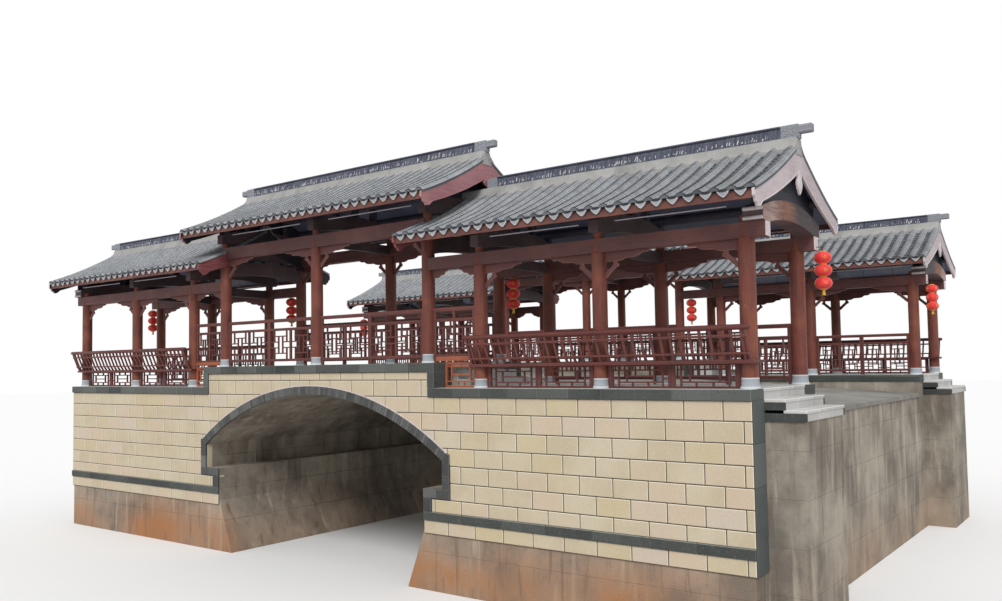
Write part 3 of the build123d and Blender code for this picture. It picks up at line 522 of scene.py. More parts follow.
def addBlock(stock, low, high, chamfer=0.006, tone=0.5, turn=None, topEdge=0.0, edge=1.0):
    # a block with all its edges chamfered
    corners = [(sx, sy, sz) for sx in (-1, 1) for sy in (-1, 1) for sz in (-1, 1)]
    verts, index = [], {}
    for corner in corners:
        for axis in range(3):
            p = Vector([(a + b) / 2 + s * ((b - a) / 2 - (0 if k == axis else chamfer))
                        for k, (a, b, s) in enumerate(zip(low, high, corner))])
            index[(*corner, axis)] = len(verts)
            verts.append(turn @ p if turn else p)
    faces, edges = [], []
    square = ((-1, -1), (1, -1), (1, 1), (-1, 1))
    for axis in range(3):
        u, v = (axis + 1) % 3, (axis + 2) % 3

        def at(s, a, b, side):
            key = [0, 0, 0]
            key[axis], key[u], key[v] = s, a, b
            return index[(*key, side)]

        for s in (-1, 1):
            faces.append(tuple(at(s, a, b, axis) for a, b in square))
            edges.append(topEdge if axis == 2 and s == 1 else 0.0)
        for a, b in square:
            faces.append((at(-1, a, b, u), at(-1, a, b, v), at(1, a, b, v), at(1, a, b, u)))
            edges.append(edge)
    for corner in corners:
        faces.append(tuple(index[(*corner, k)] for k in range(3)))
        edges.append(edge)
    addFaces(stock, verts, faces, tone, edges)


def addSweep(stock, path, section, tone=0.5, side=(1, 0, 0), grow=None):
    # a section carried along a path; side is held as the section's first axis
    rings = []
    for i, point in enumerate(path):
        ahead = Vector(path[min(i + 1, len(path) - 1)]) - Vector(path[max(i - 1, 0)])
        lift = ahead.cross(Vector(side)).normalized()
        across = lift.cross(ahead).normalized()
        g = grow[i] if grow else 1.0
        rings.append([Vector(point) + across * a * g + lift * b * g for a, b in section])
    addRings(stock, rings, tone)


def ring(radius, sides, flat=1.0):
    turns = [2 * math.pi * i / sides for i in range(sides)]
    return [(radius * math.cos(a), radius * flat * math.sin(a)) for a in turns]


def meshFrom(name, stock, mirrored=False, smooth=None):
    verts, faces = list(stock["verts"]), list(stock["faces"])
    copies = 1
    if mirrored:
        copies = 2
        faces += [tuple(len(verts) + v for v in reversed(f)) for f in faces]
        verts += [(x, -y, z) for x, y, z in verts]
    mesh = bpy.data.meshes.new(name)
    mesh.from_pydata(verts, [], faces)
    work = bmesh.new()
    work.from_mesh(mesh)
    bmesh.ops.recalc_face_normals(work, faces=work.faces)
    work.to_mesh(mesh)
    work.free()
    for label in ("tone", "edge"):
        layer = mesh.attributes.new(label, "FLOAT", "FACE")
        layer.data.foreach_set("value", stock[label] * copies)
    if smooth:
        mesh.polygons.foreach_set("use_smooth", [True] * len(mesh.polygons))
        mesh.set_sharp_from_angle(angle=math.radians(smooth))
    return mesh


pieces = []


def keepPiece(name, mesh, replaced=()):
    # puts a finished mesh into the model as a piece of the bridge
    piece = bpy.data.objects.new(name, mesh)
    scene.collection.objects.link(piece)
    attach(piece, "root")
    for node in replaced:
        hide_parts(node)
    pieces.append(name)


def makePiece(name, stock, finish, replaced=(), smooth=None):
    # a piece of both galleries
    mesh = meshFrom(name, stock, True, smooth)
    mesh.materials.append(finishes[finish])
    keepPiece(name, mesh, replaced)


def rowTree():
    # Geometry Nodes: a row of copies from each start point, a random tone on each loose part
    tree = bpy.data.node_groups.new("rowsOfPieces", "GeometryNodeTree")
    sockets = (("Starts", "Geometry"), ("Piece", "Object"), ("Count", "Int"), ("Step", "Vector"), ("Seed", "Int"),
               ("Finish", "Material"))
    for label, kind in sockets:
        tree.interface.new_socket(label, in_out="INPUT", socket_type="NodeSocket" + kind)
    tree.interface.new_socket("Rows", in_out="OUTPUT", socket_type="NodeSocketGeometry")
    add = NodeWork(tree).add
    given = add("NodeGroupInput")
    line = add("GeometryNodeMeshLine", {"Count": given["Count"], "Offset": given["Step"]}, mode="OFFSET")
    spread = add("GeometryNodeInstanceOnPoints", {"Points": given["Starts"], "Instance": line["Mesh"]})
    points = add("GeometryNodeRealizeInstances", {"Geometry": spread["Instances"]})
    piece = add("GeometryNodeObjectInfo", {"Object": given["Piece"]}, transform_space="ORIGINAL")
    placed = add("GeometryNodeInstanceOnPoints", {"Points": points["Geometry"], "Instance": piece["Geometry"]})
    solid = add("GeometryNodeRealizeInstances", {"Geometry": placed["Instances"]})
    island = add("GeometryNodeInputMeshIsland")
    chance = add("FunctionNodeRandomValue", {"ID": island["Island Index"], "Seed": given["Seed"]}, data_type="FLOAT")
    feeds = {"Geometry": solid["Geometry"], "Name": "tone", "Value": chance[1]}
    toned = add("GeometryNodeStoreNamedAttribute", feeds, data_type="FLOAT", domain="FACE")
    painted = add("GeometryNodeSetMaterial", {"Geometry": toned["Geometry"], "Material": given["Finish"]})
    add("NodeGroupOutput", {"Rows": painted["Geometry"]})
    return tree


rows = rowTree()
rowInputs = {item.name: item.identifier for item in rows.interface.items_tree if item.in_out == "INPUT"}


def rowMesh(name, pieceMesh, starts, count, step, seed, finish):
    # runs the tree once and returns its result as a plain mesh
    source = bpy.data.objects.new(name + "Source", pieceMesh)
    base = bpy.data.meshes.new(name + "Starts")
    base.from_pydata(starts, [], [])
    carrier = bpy.data.objects.new(name + "Rows", base)
    modifier = carrier.modifiers.new("rows", "NODES")
    modifier.node_group = rows
    given = {"Piece": source, "Count": count, "Step": (step, 0, 0), "Seed": seed, "Finish": finishes[finish]}
    for label, value in given.items():
        modifier[rowInputs[label]] = value
    scene.collection.objects.link(carrier)
    scene.collection.objects.link(source)
    bpy.context.view_layer.update()
    mesh = bpy.data.meshes.new_from_object(carrier.evaluated_get(bpy.context.evaluated_depsgraph_get()))
    carrier.modifiers.remove(modifier)
    bpy.data.objects.remove(carrier)
    bpy.data.objects.remove(source)
    mesh.name = name
    return mesh


def joinMeshes(name, meshes, mirrored=False):
    work = bmesh.new()
    for mesh in meshes:
        work.from_mesh(mesh)
    if mirrored:
        both = bmesh.ops.duplicate(work, geom=work.verts[:] + work.edges[:] + work.faces[:])["geom"]
        for part in both:
            if isinstance(part, bmesh.types.BMVert):
                part.co.y = -part.co.y
        bmesh.ops.reverse_faces(work, faces=[part for part in both if isinstance(part, bmesh.types.BMFace)])
    joined = bpy.data.meshes.new(name)
    work.to_mesh(joined)
    work.free()
    for material in meshes[0].materials:
        joined.materials.append(material)
    return joined


roof = {
    "ridgeT": 1.3945,
    "eaveT": -0.52,
    "deckT": -0.44,
    "eaveHeight": 2.925,
    "apexHeight": 3.86,
    "lowX": (2.91, 9.65),
    "midX": (-3.67, 3.67),
    "deckInset": 0.06,
    "deckTop": 0.062,
    "deckUnder": 0.11,
    "rowInset": 0.092,
    "pitch": 0.25,
    "coverHalf": 0.086,
    "coverRise": 0.062,
    "coverLap": (0.052, 0.038, 0.011, 1.25),  # step, drop, tilt and overlap
    "panHalf": 0.1,
    "panLap": (0.136, 0.045, 0.014, 1.2),
    "seed": 7,
}
ridgeT, eaveT = roof["ridgeT"], roof["eaveT"]
(lowX0, lowX1), (midX0, midX1) = roof["lowX"], roof["midX"]
roofSpans = ((lowX0, lowX1, 0.0), (-lowX1, -lowX0, 0.0), (midX0, midX1, roofLift))


def roofZ(t):
    u = min(abs(ridgeT - t) / (ridgeT - eaveT), 1.0)
    return z0 + roof["apexHeight"] - (roof["apexHeight"] - roof["eaveHeight"]) * (1.26 * u - 0.26 * u * u)


def roofY(t, side):
    # on the outer slope for side 1, on the road side for -1
    return gy(t) if side == 1 else gy(2 * ridgeT - t)


def overRidge(points):
    # points up the outer slope, and down the other in mirror image
    return points + [(2 * ridgeT - t, z) for t, z in reversed(points[:-1])]


def slopePoints(step, tStart, tEnd, fine=400):
    # stations up one slope, step apart along it
    points = [(tStart, roofZ(tStart))]
    travelled = 0.0
    last = points[0]
    for i in range(1, fine + 1):
        t = tStart + (tEnd - tStart) * i / fine
        here = (t, roofZ(t))
        travelled += math.dist(here, last)
        last = here
        if travelled >= step * len(points):
            points.append(here)
    return points


def tileRun(name, section, step, drop, tilt, overlap):
    # one row of lapped tiles from eave to eave, each tile a closed part
    stock = newStock()
    stations = slopePoints(step, eaveT + 0.012, ridgeT - 0.05)
    for side in (1, -1):
        for (t0, za), (t1, zb) in zip(stations, stations[1:]):
            run = Vector((t1 - t0, zb - za))
            length = run.length
            run.normalize()
            rings = []
            for along, lift in ((0.0, tilt - drop), (length * overlap, -drop)):
                points = [(a, t0 + run.x * along - run.y * (b + lift), za + run.y * along + run.x * (b + lift))
                          for a, b in section]
                rings.append([(a, roofY(max(t, eaveT + 0.002), side), z) for a, t, z in points])
            # the lower end of each tile is marked for painted shade at the lap
            addRings(stock, rings, caps=(1.0, 0.0))
    return meshFrom(name, stock, smooth=50)


coverSection = []
arcEnd = math.radians(80)
for degrees in (-80, -52, -20, 20, 52, 80):
    a = math.radians(degrees)
    rise = (math.cos(a) - math.cos(arcEnd)) / (1 - math.cos(arcEnd))
    coverSection.append((roof["coverHalf"] * math.sin(a) / math.sin(arcEnd), roof["coverRise"] * rise))
edge = roof["panHalf"]
panSection = [(-edge, 0.03), (-0.06, 0.0), (0.0, -0.012), (0.06, 0.0), (edge, 0.03), (edge, -0.02), (-edge, -0.02)]


def eavePlace(side, out, drop, lean=0.0):
    # for plates hung at an eave
    return lambda a, b, d: (a, roofY(eaveT + out + d - b * lean, side), roofZ(eaveT) - drop + b)


def dripRun():
    # the pale pointed drip under each pan at both eaves, its field grey, a band of painted shadow under the pan
    stock = newStock()
    half = [(-0.095, 0.0), (-0.087, -0.03), (-0.068, -0.058), (-0.044, -0.082), (-0.021, -0.1), (-0.006, -0.108)]
    outline = half + [(-x, z) for x, z in reversed(half)]
    field = [(x * 0.78, z * 0.72 - 0.012) for x, z in outline]
    band = [(-0.086, 0.006), (0.086, 0.006), (0.078, -0.018), (0.04, -0.032), (0.0, -0.037), (-0.04, -0.032),
            (-0.078, -0.018)]
    for side in (1, -1):
        place = eavePlace(side, 0.008, 0.016, 0.12)
        addPlate(stock, outline, place, 0.016, 0.004, 0.6)
        addPlate(stock, field, place, 0.004, 0.0, 0.1, 0.42, -0.003)
        # the band: painted shadow at the mouth of the pan
        addPlate(stock, band, place, 0.004, 0.0, 0.1, 1.0, -0.006)
    return meshFrom("dripRun", stock)


def rowEndShade():
    # a dark plate of painted shade in the hollow end of each cover row
    stock = newStock()
    arc = [(a * 0.82, b * 0.82 - 0.004) for a, b in coverSection]
    for side in (1, -1):
        addPlate(stock, arc, eavePlace(side, 0.001, 0.022), 0.012, 0.0, 0.2)
    return meshFrom("rowEndShade", stock)


coverRun = tileRun("coverRun", coverSection, *roof["coverLap"])
panRun = tileRun("panRun", panSection, *roof["panLap"])
rowKinds = (
    ("CoverTiles", coverRun, False, "coverTile"),
    ("PanTiles", panRun, True, "panTile"),
    ("DripTiles", dripRun(), True, "dripTile"),
    ("RowEnds", rowEndShade(), False, "panTile"),
)
for label, spans, nodes in (
    ("lowRoof", roofSpans[:2], bothSides("low_roofs")),
    ("midRoof", roofSpans[2:], bothSides("middle_roof")),
):
    reach = spans[0][1] - spans[0][0] - 2 * roof["rowInset"]
    count = round(reach / roof["pitch"])
    pitch = reach / count
    starts = [(x0 + roof["rowInset"], y, lift) for x0, x1, lift in spans for y in (0, -2 * gy(ridgeT))]
    between = [(x + pitch / 2, y, lift) for x, y, lift in starts]
    for i, (what, mesh, isBetween, finish) in enumerate(rowKinds):
        points, number = (between, count) if isBetween else (starts, count + 1)
        tiles = rowMesh(label + what, mesh, points, number, pitch, roof["seed"] + i, finish)
        keepPiece(label + what, tiles, () if i else nodes)


def deckStock():
    # boarded decks under the tiles, their undersides the soffits
    stock = newStock()
    stations = [roof["deckT"] + (ridgeT - roof["deckT"]) * i / 16 for i in range(17)]
    line = overRidge([(t, roofZ(t)) for t in stations])
    for x0, x1, lift in roofSpans:
        a, b = x0 + roof["deckInset"], x1 - roof["deckInset"]
        rings = []
        for t, z in line:
            top, low = z - roof["deckTop"] + lift, z - roof["deckUnder"] + lift
            rings.append([(a, gy(t), top), (b, gy(t), top), (b, gy(t), low), (a, gy(t), low)])
        addRings(stock, rings)
    return stock


makePiece("roofDecks", deckStock(), "soffitTimber")
print("roofs tiled:", len(pieces), "pieces")

ridgeSizes = {
    "bandTop": 3.94,
    "top": 4.135,
    "tilePitch": 0.021,
    "tileThick": 0.015,
    "halfWidth": 0.072,
    "lean": 9,
    "bandHalf": 0.15,
    "bedHalf": 0.215,
    "bodyInset": 0.285,
    "innerEnd": 3.7,
    "innerBlock": 0.24,
    "capHalf": 0.088,
    "dabShare": 0.72,
    "seed": 21,
}


def uprightTile():
    # one thin tile on edge, leaning a little
    stock = newStock()
    turn = Matrix.Rotation(math.radians(ridgeSizes["lean"]), 4, "Y")
    h = ridgeSizes["top"] - ridgeSizes["bandTop"] - 0.03
    w, thick = ridgeSizes["halfWidth"], ridgeSizes["tileThick"]
    outline = [(-w, 0), (w, 0), (w, h * 0.8), (w * 0.7, h), (-w * 0.7, h), (-w, h * 0.8)]
    addPlate(stock, outline, lambda a, b, d: turn @ Vector((d - thick / 2, a, b)), thick)
    return meshFrom("uprightTile", stock)


def ridgeBodies():
    bands, caps, blocks, spans = newStock(), newStock(), newStock(), []
    mid, half, wide, cap = gy(ridgeT), ridgeSizes["bandHalf"], ridgeSizes["bedHalf"], ridgeSizes["capHalf"]
    section = [(-half - 0.05, -0.2), (-half, -0.12), (-half * 0.8, -0.02), (-half * 0.55, 0.0)]
    section += [(-s, z) for s, z in reversed(section)]
    for (x0, x1, lift), inner in zip(roofSpans, (ridgeSizes["innerEnd"], -ridgeSizes["innerEnd"], 0)):
        ends = (inner <= 0, inner >= 0)  # where a carved end stands
        top = z0 + ridgeSizes["bandTop"] + lift
        a, b = x0 + 0.012 * ends[0], x1 - 0.012 * ends[1]
        stations = ((a, 0.72), (a + 0.03, 0.93), (a + 0.08, 1.0), (b - 0.08, 1.0), (b - 0.03, 0.93), (b, 0.72))
        addRings(bands, [
            [(x, mid + s * g, top + z * (2 - g) - (1 - g) * 0.09) for s, z in section]
            for x, g in stations if g == 1.0 or ends[x > (x0 + x1) / 2]
        ])
        foot = roofZ(ridgeT - wide) + lift
        bed = [(-wide, foot - 0.055), (-wide, foot + 0.014), (-0.12, top - 0.1)]
        bed += [(-t, z) for t, z in reversed(bed)]
        bedEnds = (x0 + (0.02 if ends[0] else 0.06), x1 - (0.02 if ends[1] else 0.06))
        addRings(bands, [[(x, mid + t, z) for t, z in bed] for x in bedEnds])
        if inner:
            low, high = sorted((inner, inner + math.copysign(ridgeSizes["innerBlock"], inner)))
            addBlock(blocks, (low, mid - 0.08, top - 0.01), (high, mid + 0.08, top + 0.18), 0.008)
        low = x0 + ridgeSizes["bodyInset"] if ends[0] else inner + 0.25
        high = x1 - ridgeSizes["bodyInset"] if ends[1] else inner - 0.25
        spans.append((low, high, top, mid))
        addBlock(caps, (low - 0.01, mid - cap, top + 0.172), (high + 0.01, mid + cap, top + 0.195), 0.006)
        addBlock(caps, (low - 0.005, mid - 0.05, top + 0.004), (high + 0.005, mid + 0.05, top + 0.18), 0.004)
        for active, edge, way in ((ends[0], x0, -1), (ends[1], x1, 1)):
            if active:
                addOrnament(blocks, edge, way, top, mid)
    return bands, caps, blocks, spans


def addOrnament(stock, edge, way, top, mid):
    # carved ridge end: a scroll block on a foot, and a plain arm pointing outwards
    def block(x0, x1, y0, y1, za, zb, chamfer=0.006, tone=0.5):
        low, high = sorted((edge + way * x0, edge + way * x1))
        addBlock(stock, (low, mid + y0, top + za), (high, mid + y1, top + zb), chamfer, tone)

    block(-0.275, 0.0, -0.07, 0.07, -0.012, 0.198)
    block(-0.02, 0.2, -0.06, 0.06, 0.052, 0.182, 0.012)
    block(-0.045, 0.012, -0.05, 0.05, -0.03, 0.1, 0.01)
    # raised scrolls and leaf bands on its flanks
    scrolls = ((-0.19, 0.135, 0.045), (-0.095, 0.15, 0.036), (-0.2, 0.05, 0.034), (-0.09, 0.06, 0.042))
    for side in (-1, 1):
        for cx, cz, size in scrolls:
            path = []
            for i in range(15):
                a, r = i * 0.42, size * (1 - i / 19)
                path.append((edge + way * (cx + r * math.cos(a)), mid + side * 0.07, top + cz + r * math.sin(a)))
            addSweep(stock, path, ring(0.009, 5), 0.9, (0, side, 0))
        for z in (0.085, 0.15):
            block(0.0, 0.19, side * 0.06 - 0.004, side * 0.06 + 0.004, z - 0.008, z + 0.008, 0.003, 0.9)


def mortarDabs():
    # white mortar showing between the upright tiles near their feet
    stock = newStock()
    chance = random.Random(ridgeSizes["seed"])
    for low, high, top, mid in ridgeSpans:
        x = low + 0.05
        while x < high - 0.05:
            if chance.random() < ridgeSizes["dabShare"]:
                for side in (-1, 1):
                    w = chance.uniform(0.004, 0.011)
                    h = chance.uniform(0.03, 0.08) + 0.03 * (chance.random() < 0.25)
                    spot = Matrix.Translation((x, mid + side * 0.073, top + chance.uniform(0.004, 0.04)))
                    lean = Matrix.Rotation(math.radians(chance.uniform(4, 26)), 4, "Y")
                    addBlock(stock, (-w, -0.006, 0.0), (w, 0.006, h), 0.002, chance.random(), spot @ lean)
            x += chance.uniform(0.018, 0.075)
    return stock


bands, caps, blocks, ridgeSpans = ridgeBodies()
makePiece("ridgeMortarBands", bands, "ridgeMortar", bothSides("ridges"), 40)
makePiece("ridgeCaps", caps, "ridgeTile")
makePiece("ridgeEndBlocks", blocks, "ridgeBlock", smooth=30)
ridgeRows = []
tile, pitch = uprightTile(), ridgeSizes["tilePitch"]
for i, (low, high, top, mid) in enumerate(ridgeSpans):
    starts = [(low + 0.02, y, top) for y in (mid, -mid)]
    count = int((high - low - 0.04) / pitch)
    ridgeRows.append(rowMesh("ridgeRow%d" % i, tile, starts, count, pitch, ridgeSizes["seed"] + i, "ridgeTile"))
keepPiece("ridgeUprightTiles", joinMeshes("ridgeUprightTiles", ridgeRows))
makePiece("ridgeMortarDabs", mortarDabs(), "dripTile")
print("ridges laid")

wall = {
    "courses": (0.0, -0.29, -0.6, -0.905, -1.215, -1.516, -1.815, -2.05),
    "footCourse": (-2.44, -2.2),
    "raisedCourses": (0.0, 0.305, 0.455),
    "tileLength": 0.6063,
    "joint": 0.017,
    "backJoint": 0.0005,
    "chamfer": 0.008,
    "tileDepth": 0.026,
    "voussoir": 0.0756,
    "ringProud": 0.025,
    "ringDepth": 0.055,
    "seed": 3,
}
shift, jambInner = bridge["archShift"], bridge["archHalf"]
rise = bridge["springDrop"] + bridge["crownHeight"]
archRadius = (jambInner ** 2 + rise ** 2) / (2 * rise)
archCentre = bridge["crownHeight"] - archRadius
archAngle = math.asin(jambInner / archRadius)
outerRadius = archRadius + bridge["ringThickness"]
ringTop = archCentre + outerRadius
jambOuter = jambInner + bridge["jambWidth"]
sill = -bridge["ledgeDrop"]
ledgeFoot = sill - bridge["ledgeHeight"]
copingLow, copingHigh = gy(bridge["copingWidth"]), gy(bridge["galleryDepth"] - bridge["copingWidth"])


def frontPlace(t0=0.0):
    return lambda a, b, d: (a, gy(t0 + d), z0 + b)


def extrados(x):
    return archCentre + math.sqrt(max(outerRadius ** 2 - (x - shift) ** 2, 0.0))


def tileOutlines(x0, x1, za, zb, joint, clear=0.004):
    # what is left of one wall tile outside the arch ring and its jambs
    g = joint / 2
    x0, x1, za, zb = x0 + g, x1 - g, za + g, zb - g
    overJamb = zb > extrados(shift + jambOuter)
    if zb < -2.1:
        limit = bridge["ledgeHalf"]
    elif zb < ledgeFoot:
        limit = bridge["ledgeHalf"] + bridge["lowerJamb"]
    elif za > ringTop:
        limit = 0.0
    elif overJamb:
        head = zb - 0.012
        limit = math.sqrt(outerRadius ** 2 - (head - archCentre) ** 2) if head < ringTop else 0.0
    else:
        limit = jambOuter
    spans = ((x0, x1),)
    if limit:
        limit += clear
        spans = ((x0, min(x1, shift - limit)), (max(x0, shift + limit), x1))
    outlines = []
    for a, b in spans:
        if b - a <= 0.02:
            continue
        steps = max(1, int((b - a) / 0.05))
        low = []
        for i in range(steps + 1):
            x = a + (b - a) * i / steps
            inRing = abs(x - shift) < jambOuter and overJamb and za < ringTop
            low.append((x, min(max(za, extrados(x) + clear) if inRing else za, zb - 0.006)))
        # stations on a level run are dropped
        kept = [here for before, here, after in zip(low, low[1:], low[2:])
                if max(abs(here[1] - before[1]), abs(here[1] - after[1])) > 1e-4]
        outlines.append([low[0]] + kept + [low[-1], (b, zb), (a, zb)])
    return outlines


def wallTiles():
    stock, backing = newStock(), newStock()
    chance = random.Random(wall["seed"])
    length, raised = wall["tileLength"], wall["raisedCourses"]
    courses = [(za, zb, i % 2 == 0, wallEnd) for i, (zb, za) in enumerate(zip(wall["courses"], wall["courses"][1:]))]
    courses.append((*wall["footCourse"], False, wallEnd))
    courses += [(za, zb, i == 1, raisedHalf) for i, (za, zb) in enumerate(zip(raised, raised[1:]))]
    for za, zb, isOdd, end in courses:
        joints = [-end]
        x = -wallEnd + (length if isOdd else length / 2)
        while x < end:
            if x > -end + 0.02:
                joints.append(x)
            x += length
        for x0, x1 in zip(joints, joints[1:] + [end]):
            tone = chance.random()
            for outline in tileOutlines(x0, x1, za, zb, wall["joint"]):
                addPlate(stock, outline, frontPlace(), wall["tileDepth"], wall["chamfer"], tone)
            for outline in tileOutlines(x0, x1, za, zb, wall["backJoint"]):
                addPlate(backing, outline, frontPlace(0.011), 0.014)
    return stock, backing


def arcOutline(r0, r1, a0, a1):
    # a piece of ring round the centre of the arch
    corners = ((r0, a0), (r1, a0), (r1, a1), (r0, a1))
    return [(shift + r * math.sin(a), archCentre + r * math.cos(a)) for r, a in corners]


def archStones():
    # thin tooled voussoirs, jamb stones and the ledge blocks
    stock = newStock()
    chance = random.Random(wall["seed"] + 1)
    place, depth = frontPlace(-wall["ringProud"]), wall["ringDepth"]
    gap = 0.0025 / outerRadius
    for a0, a1 in lengths(-archAngle, archAngle, int(2 * archAngle * outerRadius / wall["voussoir"])):
        outline = arcOutline(archRadius, outerRadius, a0 + gap, a1 - gap)
        addPlate(stock, outline, place, depth, 0.006, chance.random() * 0.8)
    a, b, c, d = jambInner, jambOuter, bridge["ledgeHalf"], bridge["ledgeHalf"] + bridge["lowerJamb"]
    topIn = archCentre + archRadius * math.cos(archAngle)
    topOut = archCentre + outerRadius * math.cos(archAngle)
    middle, foot = (b + c) / 2, -bridge["bandTop"] + 0.002
    upper = [(a, topIn - 0.003), (outerRadius * math.sin(archAngle), topOut - 0.003), (b, topOut - 0.01),
             (b, sill + 0.26), (a, sill + 0.26)]
    stones = [(upper, 0.006)]
    for x0, x1, low, high, chamfer in (
        (a, b, sill + 0.003, sill + 0.257, 0.006),
        (c, middle - 0.002, ledgeFoot, sill, 0.008),
        (middle + 0.002, b, ledgeFoot, sill, 0.008),
        (c, d, foot, ledgeFoot - 0.003, 0.006),
    ):
        stones.append(([(x0, low), (x1, low), (x1, high), (x0, high)], chamfer))
    for way in (-1, 1):
        for outline, chamfer in stones:
            addPlate(stock, [(shift + way * x, z) for x, z in outline], place, depth, chamfer, chance.random())
    return stock


def archMortarLine():
    # the pale line of mortar along the back of the ring
    stock = newStock()
    for a0, a1 in lengths(-archAngle, archAngle, 60):
        addPlate(stock, arcOutline(outerRadius - 0.004, outerRadius + 0.016, a0, a1), frontPlace(-0.012), 0.03)
    return stock


tileStock, jointStock = wallTiles()
makePiece("wallTiles", tileStock, "buffWallTile", bothSides("tile_facing"))
makePiece("wallJoints", jointStock, "wallJoint")
makePiece("archStones", archStones(), "ringGranite", bothSides("arch_ring"))
makePiece("archMortarLine", archMortarLine(), "beadPaint")

masonry = {
    "gap": 0.002,
    "copingCount": 10,
    "raisedCount": 11,
    "pier": 0.16,
    "pierTop": 0.455,
    "kerbReach": 0.06,
    "stringLength": 0.9,
    "slabLevels": (-2.44, -1.82, -1.215, -0.605, 0.0),
    "liningThick": 0.008,
}


def copingStones():
    # coping in lengths of about 0.6 m, dark faces and sawn tops, the tops painted pale as a painted highlight
    stock = newStock()
    chance = random.Random(wall["seed"] + 2)
    g, pier, pierTop = masonry["gap"], raisedHalf + masonry["pier"], z0 + masonry["pierTop"]
    runs = []
    for way in (-1, 1):
        for a, b in lengths(raisedHalf, wallEnd, masonry["copingCount"]):
            low, high = endSpan(way, a, b)
            runs.append((low + g, high - g, z0, lowDeck))
        runs.append((*endSpan(way, raisedHalf, pier), lowDeck + g, pierTop - g))
    runs += [(a + g, b - g, pierTop, midDeck) for a, b in lengths(-pier, pier, masonry["raisedCount"])]
    for x0, x1, za, zb in runs:
        addBlock(stock, (x0, gy(-0.035), za), (x1, copingLow, zb), 0.007, chance.random(), topEdge=1.0, edge=0.12)
    return stock


def stringStones():
    stock = newStock()
    chance = random.Random(wall["seed"] + 4)
    g, ledge = masonry["gap"], bridge["ledgeHalf"]
    low, high = z0 - bridge["bandBottom"], z0 - bridge["bandTop"] - 0.001
    for a, b in ((shift + ledge, wallEnd), (-wallEnd, shift - ledge)):
        for x0, x1 in lengths(a, b, round((b - a) / masonry["stringLength"])):
            tone = chance.random() * 0.7
            # upper faces painted paler: a painted highlight
            addBlock(stock, (x0 + g, gy(-0.025), low), (x1 - g, gy(0.03), high), 0.006, tone, topEdge=0.6, edge=0.1)
    return stock


def endStones():
    # granite slabs on the end faces, beside the steps
    stock = newStock()
    chance = random.Random(wall["seed"] + 5)
    g, levels = masonry["gap"], masonry["slabLevels"]
    for way in (-1, 1):
        x0, x1 = endSpan(way, wallEnd - 0.029, wallEnd)
        for za, zb in zip(levels, levels[1:]):
            low, high = (x0, gy(0.031), z0 + za + g), (x1, copingLow, z0 + zb - g)
            addBlock(stock, low, high, 0.004, chance.random(), edge=0.4)
    return stock


def revealTiles():
    # buff tiles lining the first 0.16 m of the opening
    stock = newStock()
    for way in (-1, 1):
        for half, low, high, deep in (
            (jambInner, sill, -bridge["springDrop"] - 0.002, 0.16),
            (bridge["ledgeHalf"], -1.84, ledgeFoot, 0.15),
        ):
            face = shift + way * half
            x0, x1 = sorted((face, face - way * masonry["liningThick"]))
            addBlock(stock, (x0, gy(0.031), z0 + low), (x1, gy(deep), z0 + high), 0.003)
    return stock


def kerbStones():
    # kerb lengths along the road side, following the stones underneath
    stock = newStock()
    chance = random.Random(wall["seed"] + 6)
    g, reach = masonry["gap"], raisedHalf + masonry["kerbReach"]
    low = lengths(raisedHalf, wallEnd, masonry["copingCount"])
    runs = [(*endSpan(way, a, b), lowDeck) for way in (-1, 1) for a, b in low]
    runs += [(a, b, midDeck) for a, b in lengths(-reach, reach, masonry["raisedCount"])]
    for x0, x1, top in runs:
        low, high = (x0 + g, copingHigh, top - 0.05), (x1 - g, gy(bridge["galleryDepth"] + 0.018), top + 0.004)
        # tops painted pale: a painted highlight
        addBlock(stock, low, high, 0.008, chance.random(), topEdge=1.0, edge=0.15)
    return stock


makePiece("copingStones", copingStones(), "flamedGranite", bothSides("coping"))
makePiece("stringStones", stringStones(), "flamedGranite", ("string_courses",))
makePiece("endStones", endStones(), "endGranite", ("end_slabs",))
makePiece("revealTiles", revealTiles(), "buffWallTile")
makePiece("kerbTops", kerbStones(), "flamedGranite")

endStep = {"run": 0.3, "riser": 0.155, "slab": 0.045, "lengths": 3, "nosing": 0.012, "plate": 0.033}


def stepSlabs():
    # pale treads in three lengths, each with its riser plate set back under the nosing
    stock = newStock()
    chance = random.Random(wall["seed"] + 7)
    for way in (-1, 1):
        for i in range(3):
            top = lowDeck - i * endStep["riser"]
            edge = wallEnd + i * endStep["run"]
            x0, x1 = endSpan(way, edge - endStep["run"] - 0.03 * (i > 0), edge)
            face = edge - endStep["nosing"]
            r0, r1 = endSpan(way, face - endStep["plate"], face)
            foot, under = top - endStep["riser"], top - endStep["slab"]
            for ya, yb in lengths(copingLow, copingHigh, endStep["lengths"]):
                ya, yb = ya + 0.001, yb - 0.001
                addBlock(stock, (x0, ya, under), (x1, yb, top + 0.001), 0.007, chance.random())
                addBlock(stock, (r0, ya, foot), (r1, yb, under - 0.001), 0.003, chance.random() * 0.5)
    return stock


endTreads = ("end_treads_top", "end_treads_middle", "end_treads_bottom")
makePiece("endSteps", stepSlabs(), "paleStep", endTreads)
print("wall and steps laid")

frameTimber = {
    "beamLow": (2.325, 2.55),
    "beamMid": (3.04, 3.3),
    "beamHalf": 0.1,
    "tongueHeight": 0.19,
    "tongueHalf": 0.072,
    "boardHalf": 0.02,
    "boardShare": 0.36,
    "boardLength": 0.88,
    "boardSteps": ((0.93, -0.046), (0.84, -0.048), (0.8, -0.06), (0.76, -0.084), (0.71, -0.1), (0.62, -0.107),
                   (0.49, -0.109), (0.45, -0.118), (0.4, -0.14), (0.34, -0.149)),
    "braceDrop": 0.41,
    "seed": 31,
}
lowBeam, midBeam = z0 + frameTimber["beamLow"][0], z0 + frameTimber["beamMid"][0]
lowSpots = [x * s for x in lowPosts for s in (1, -1)]


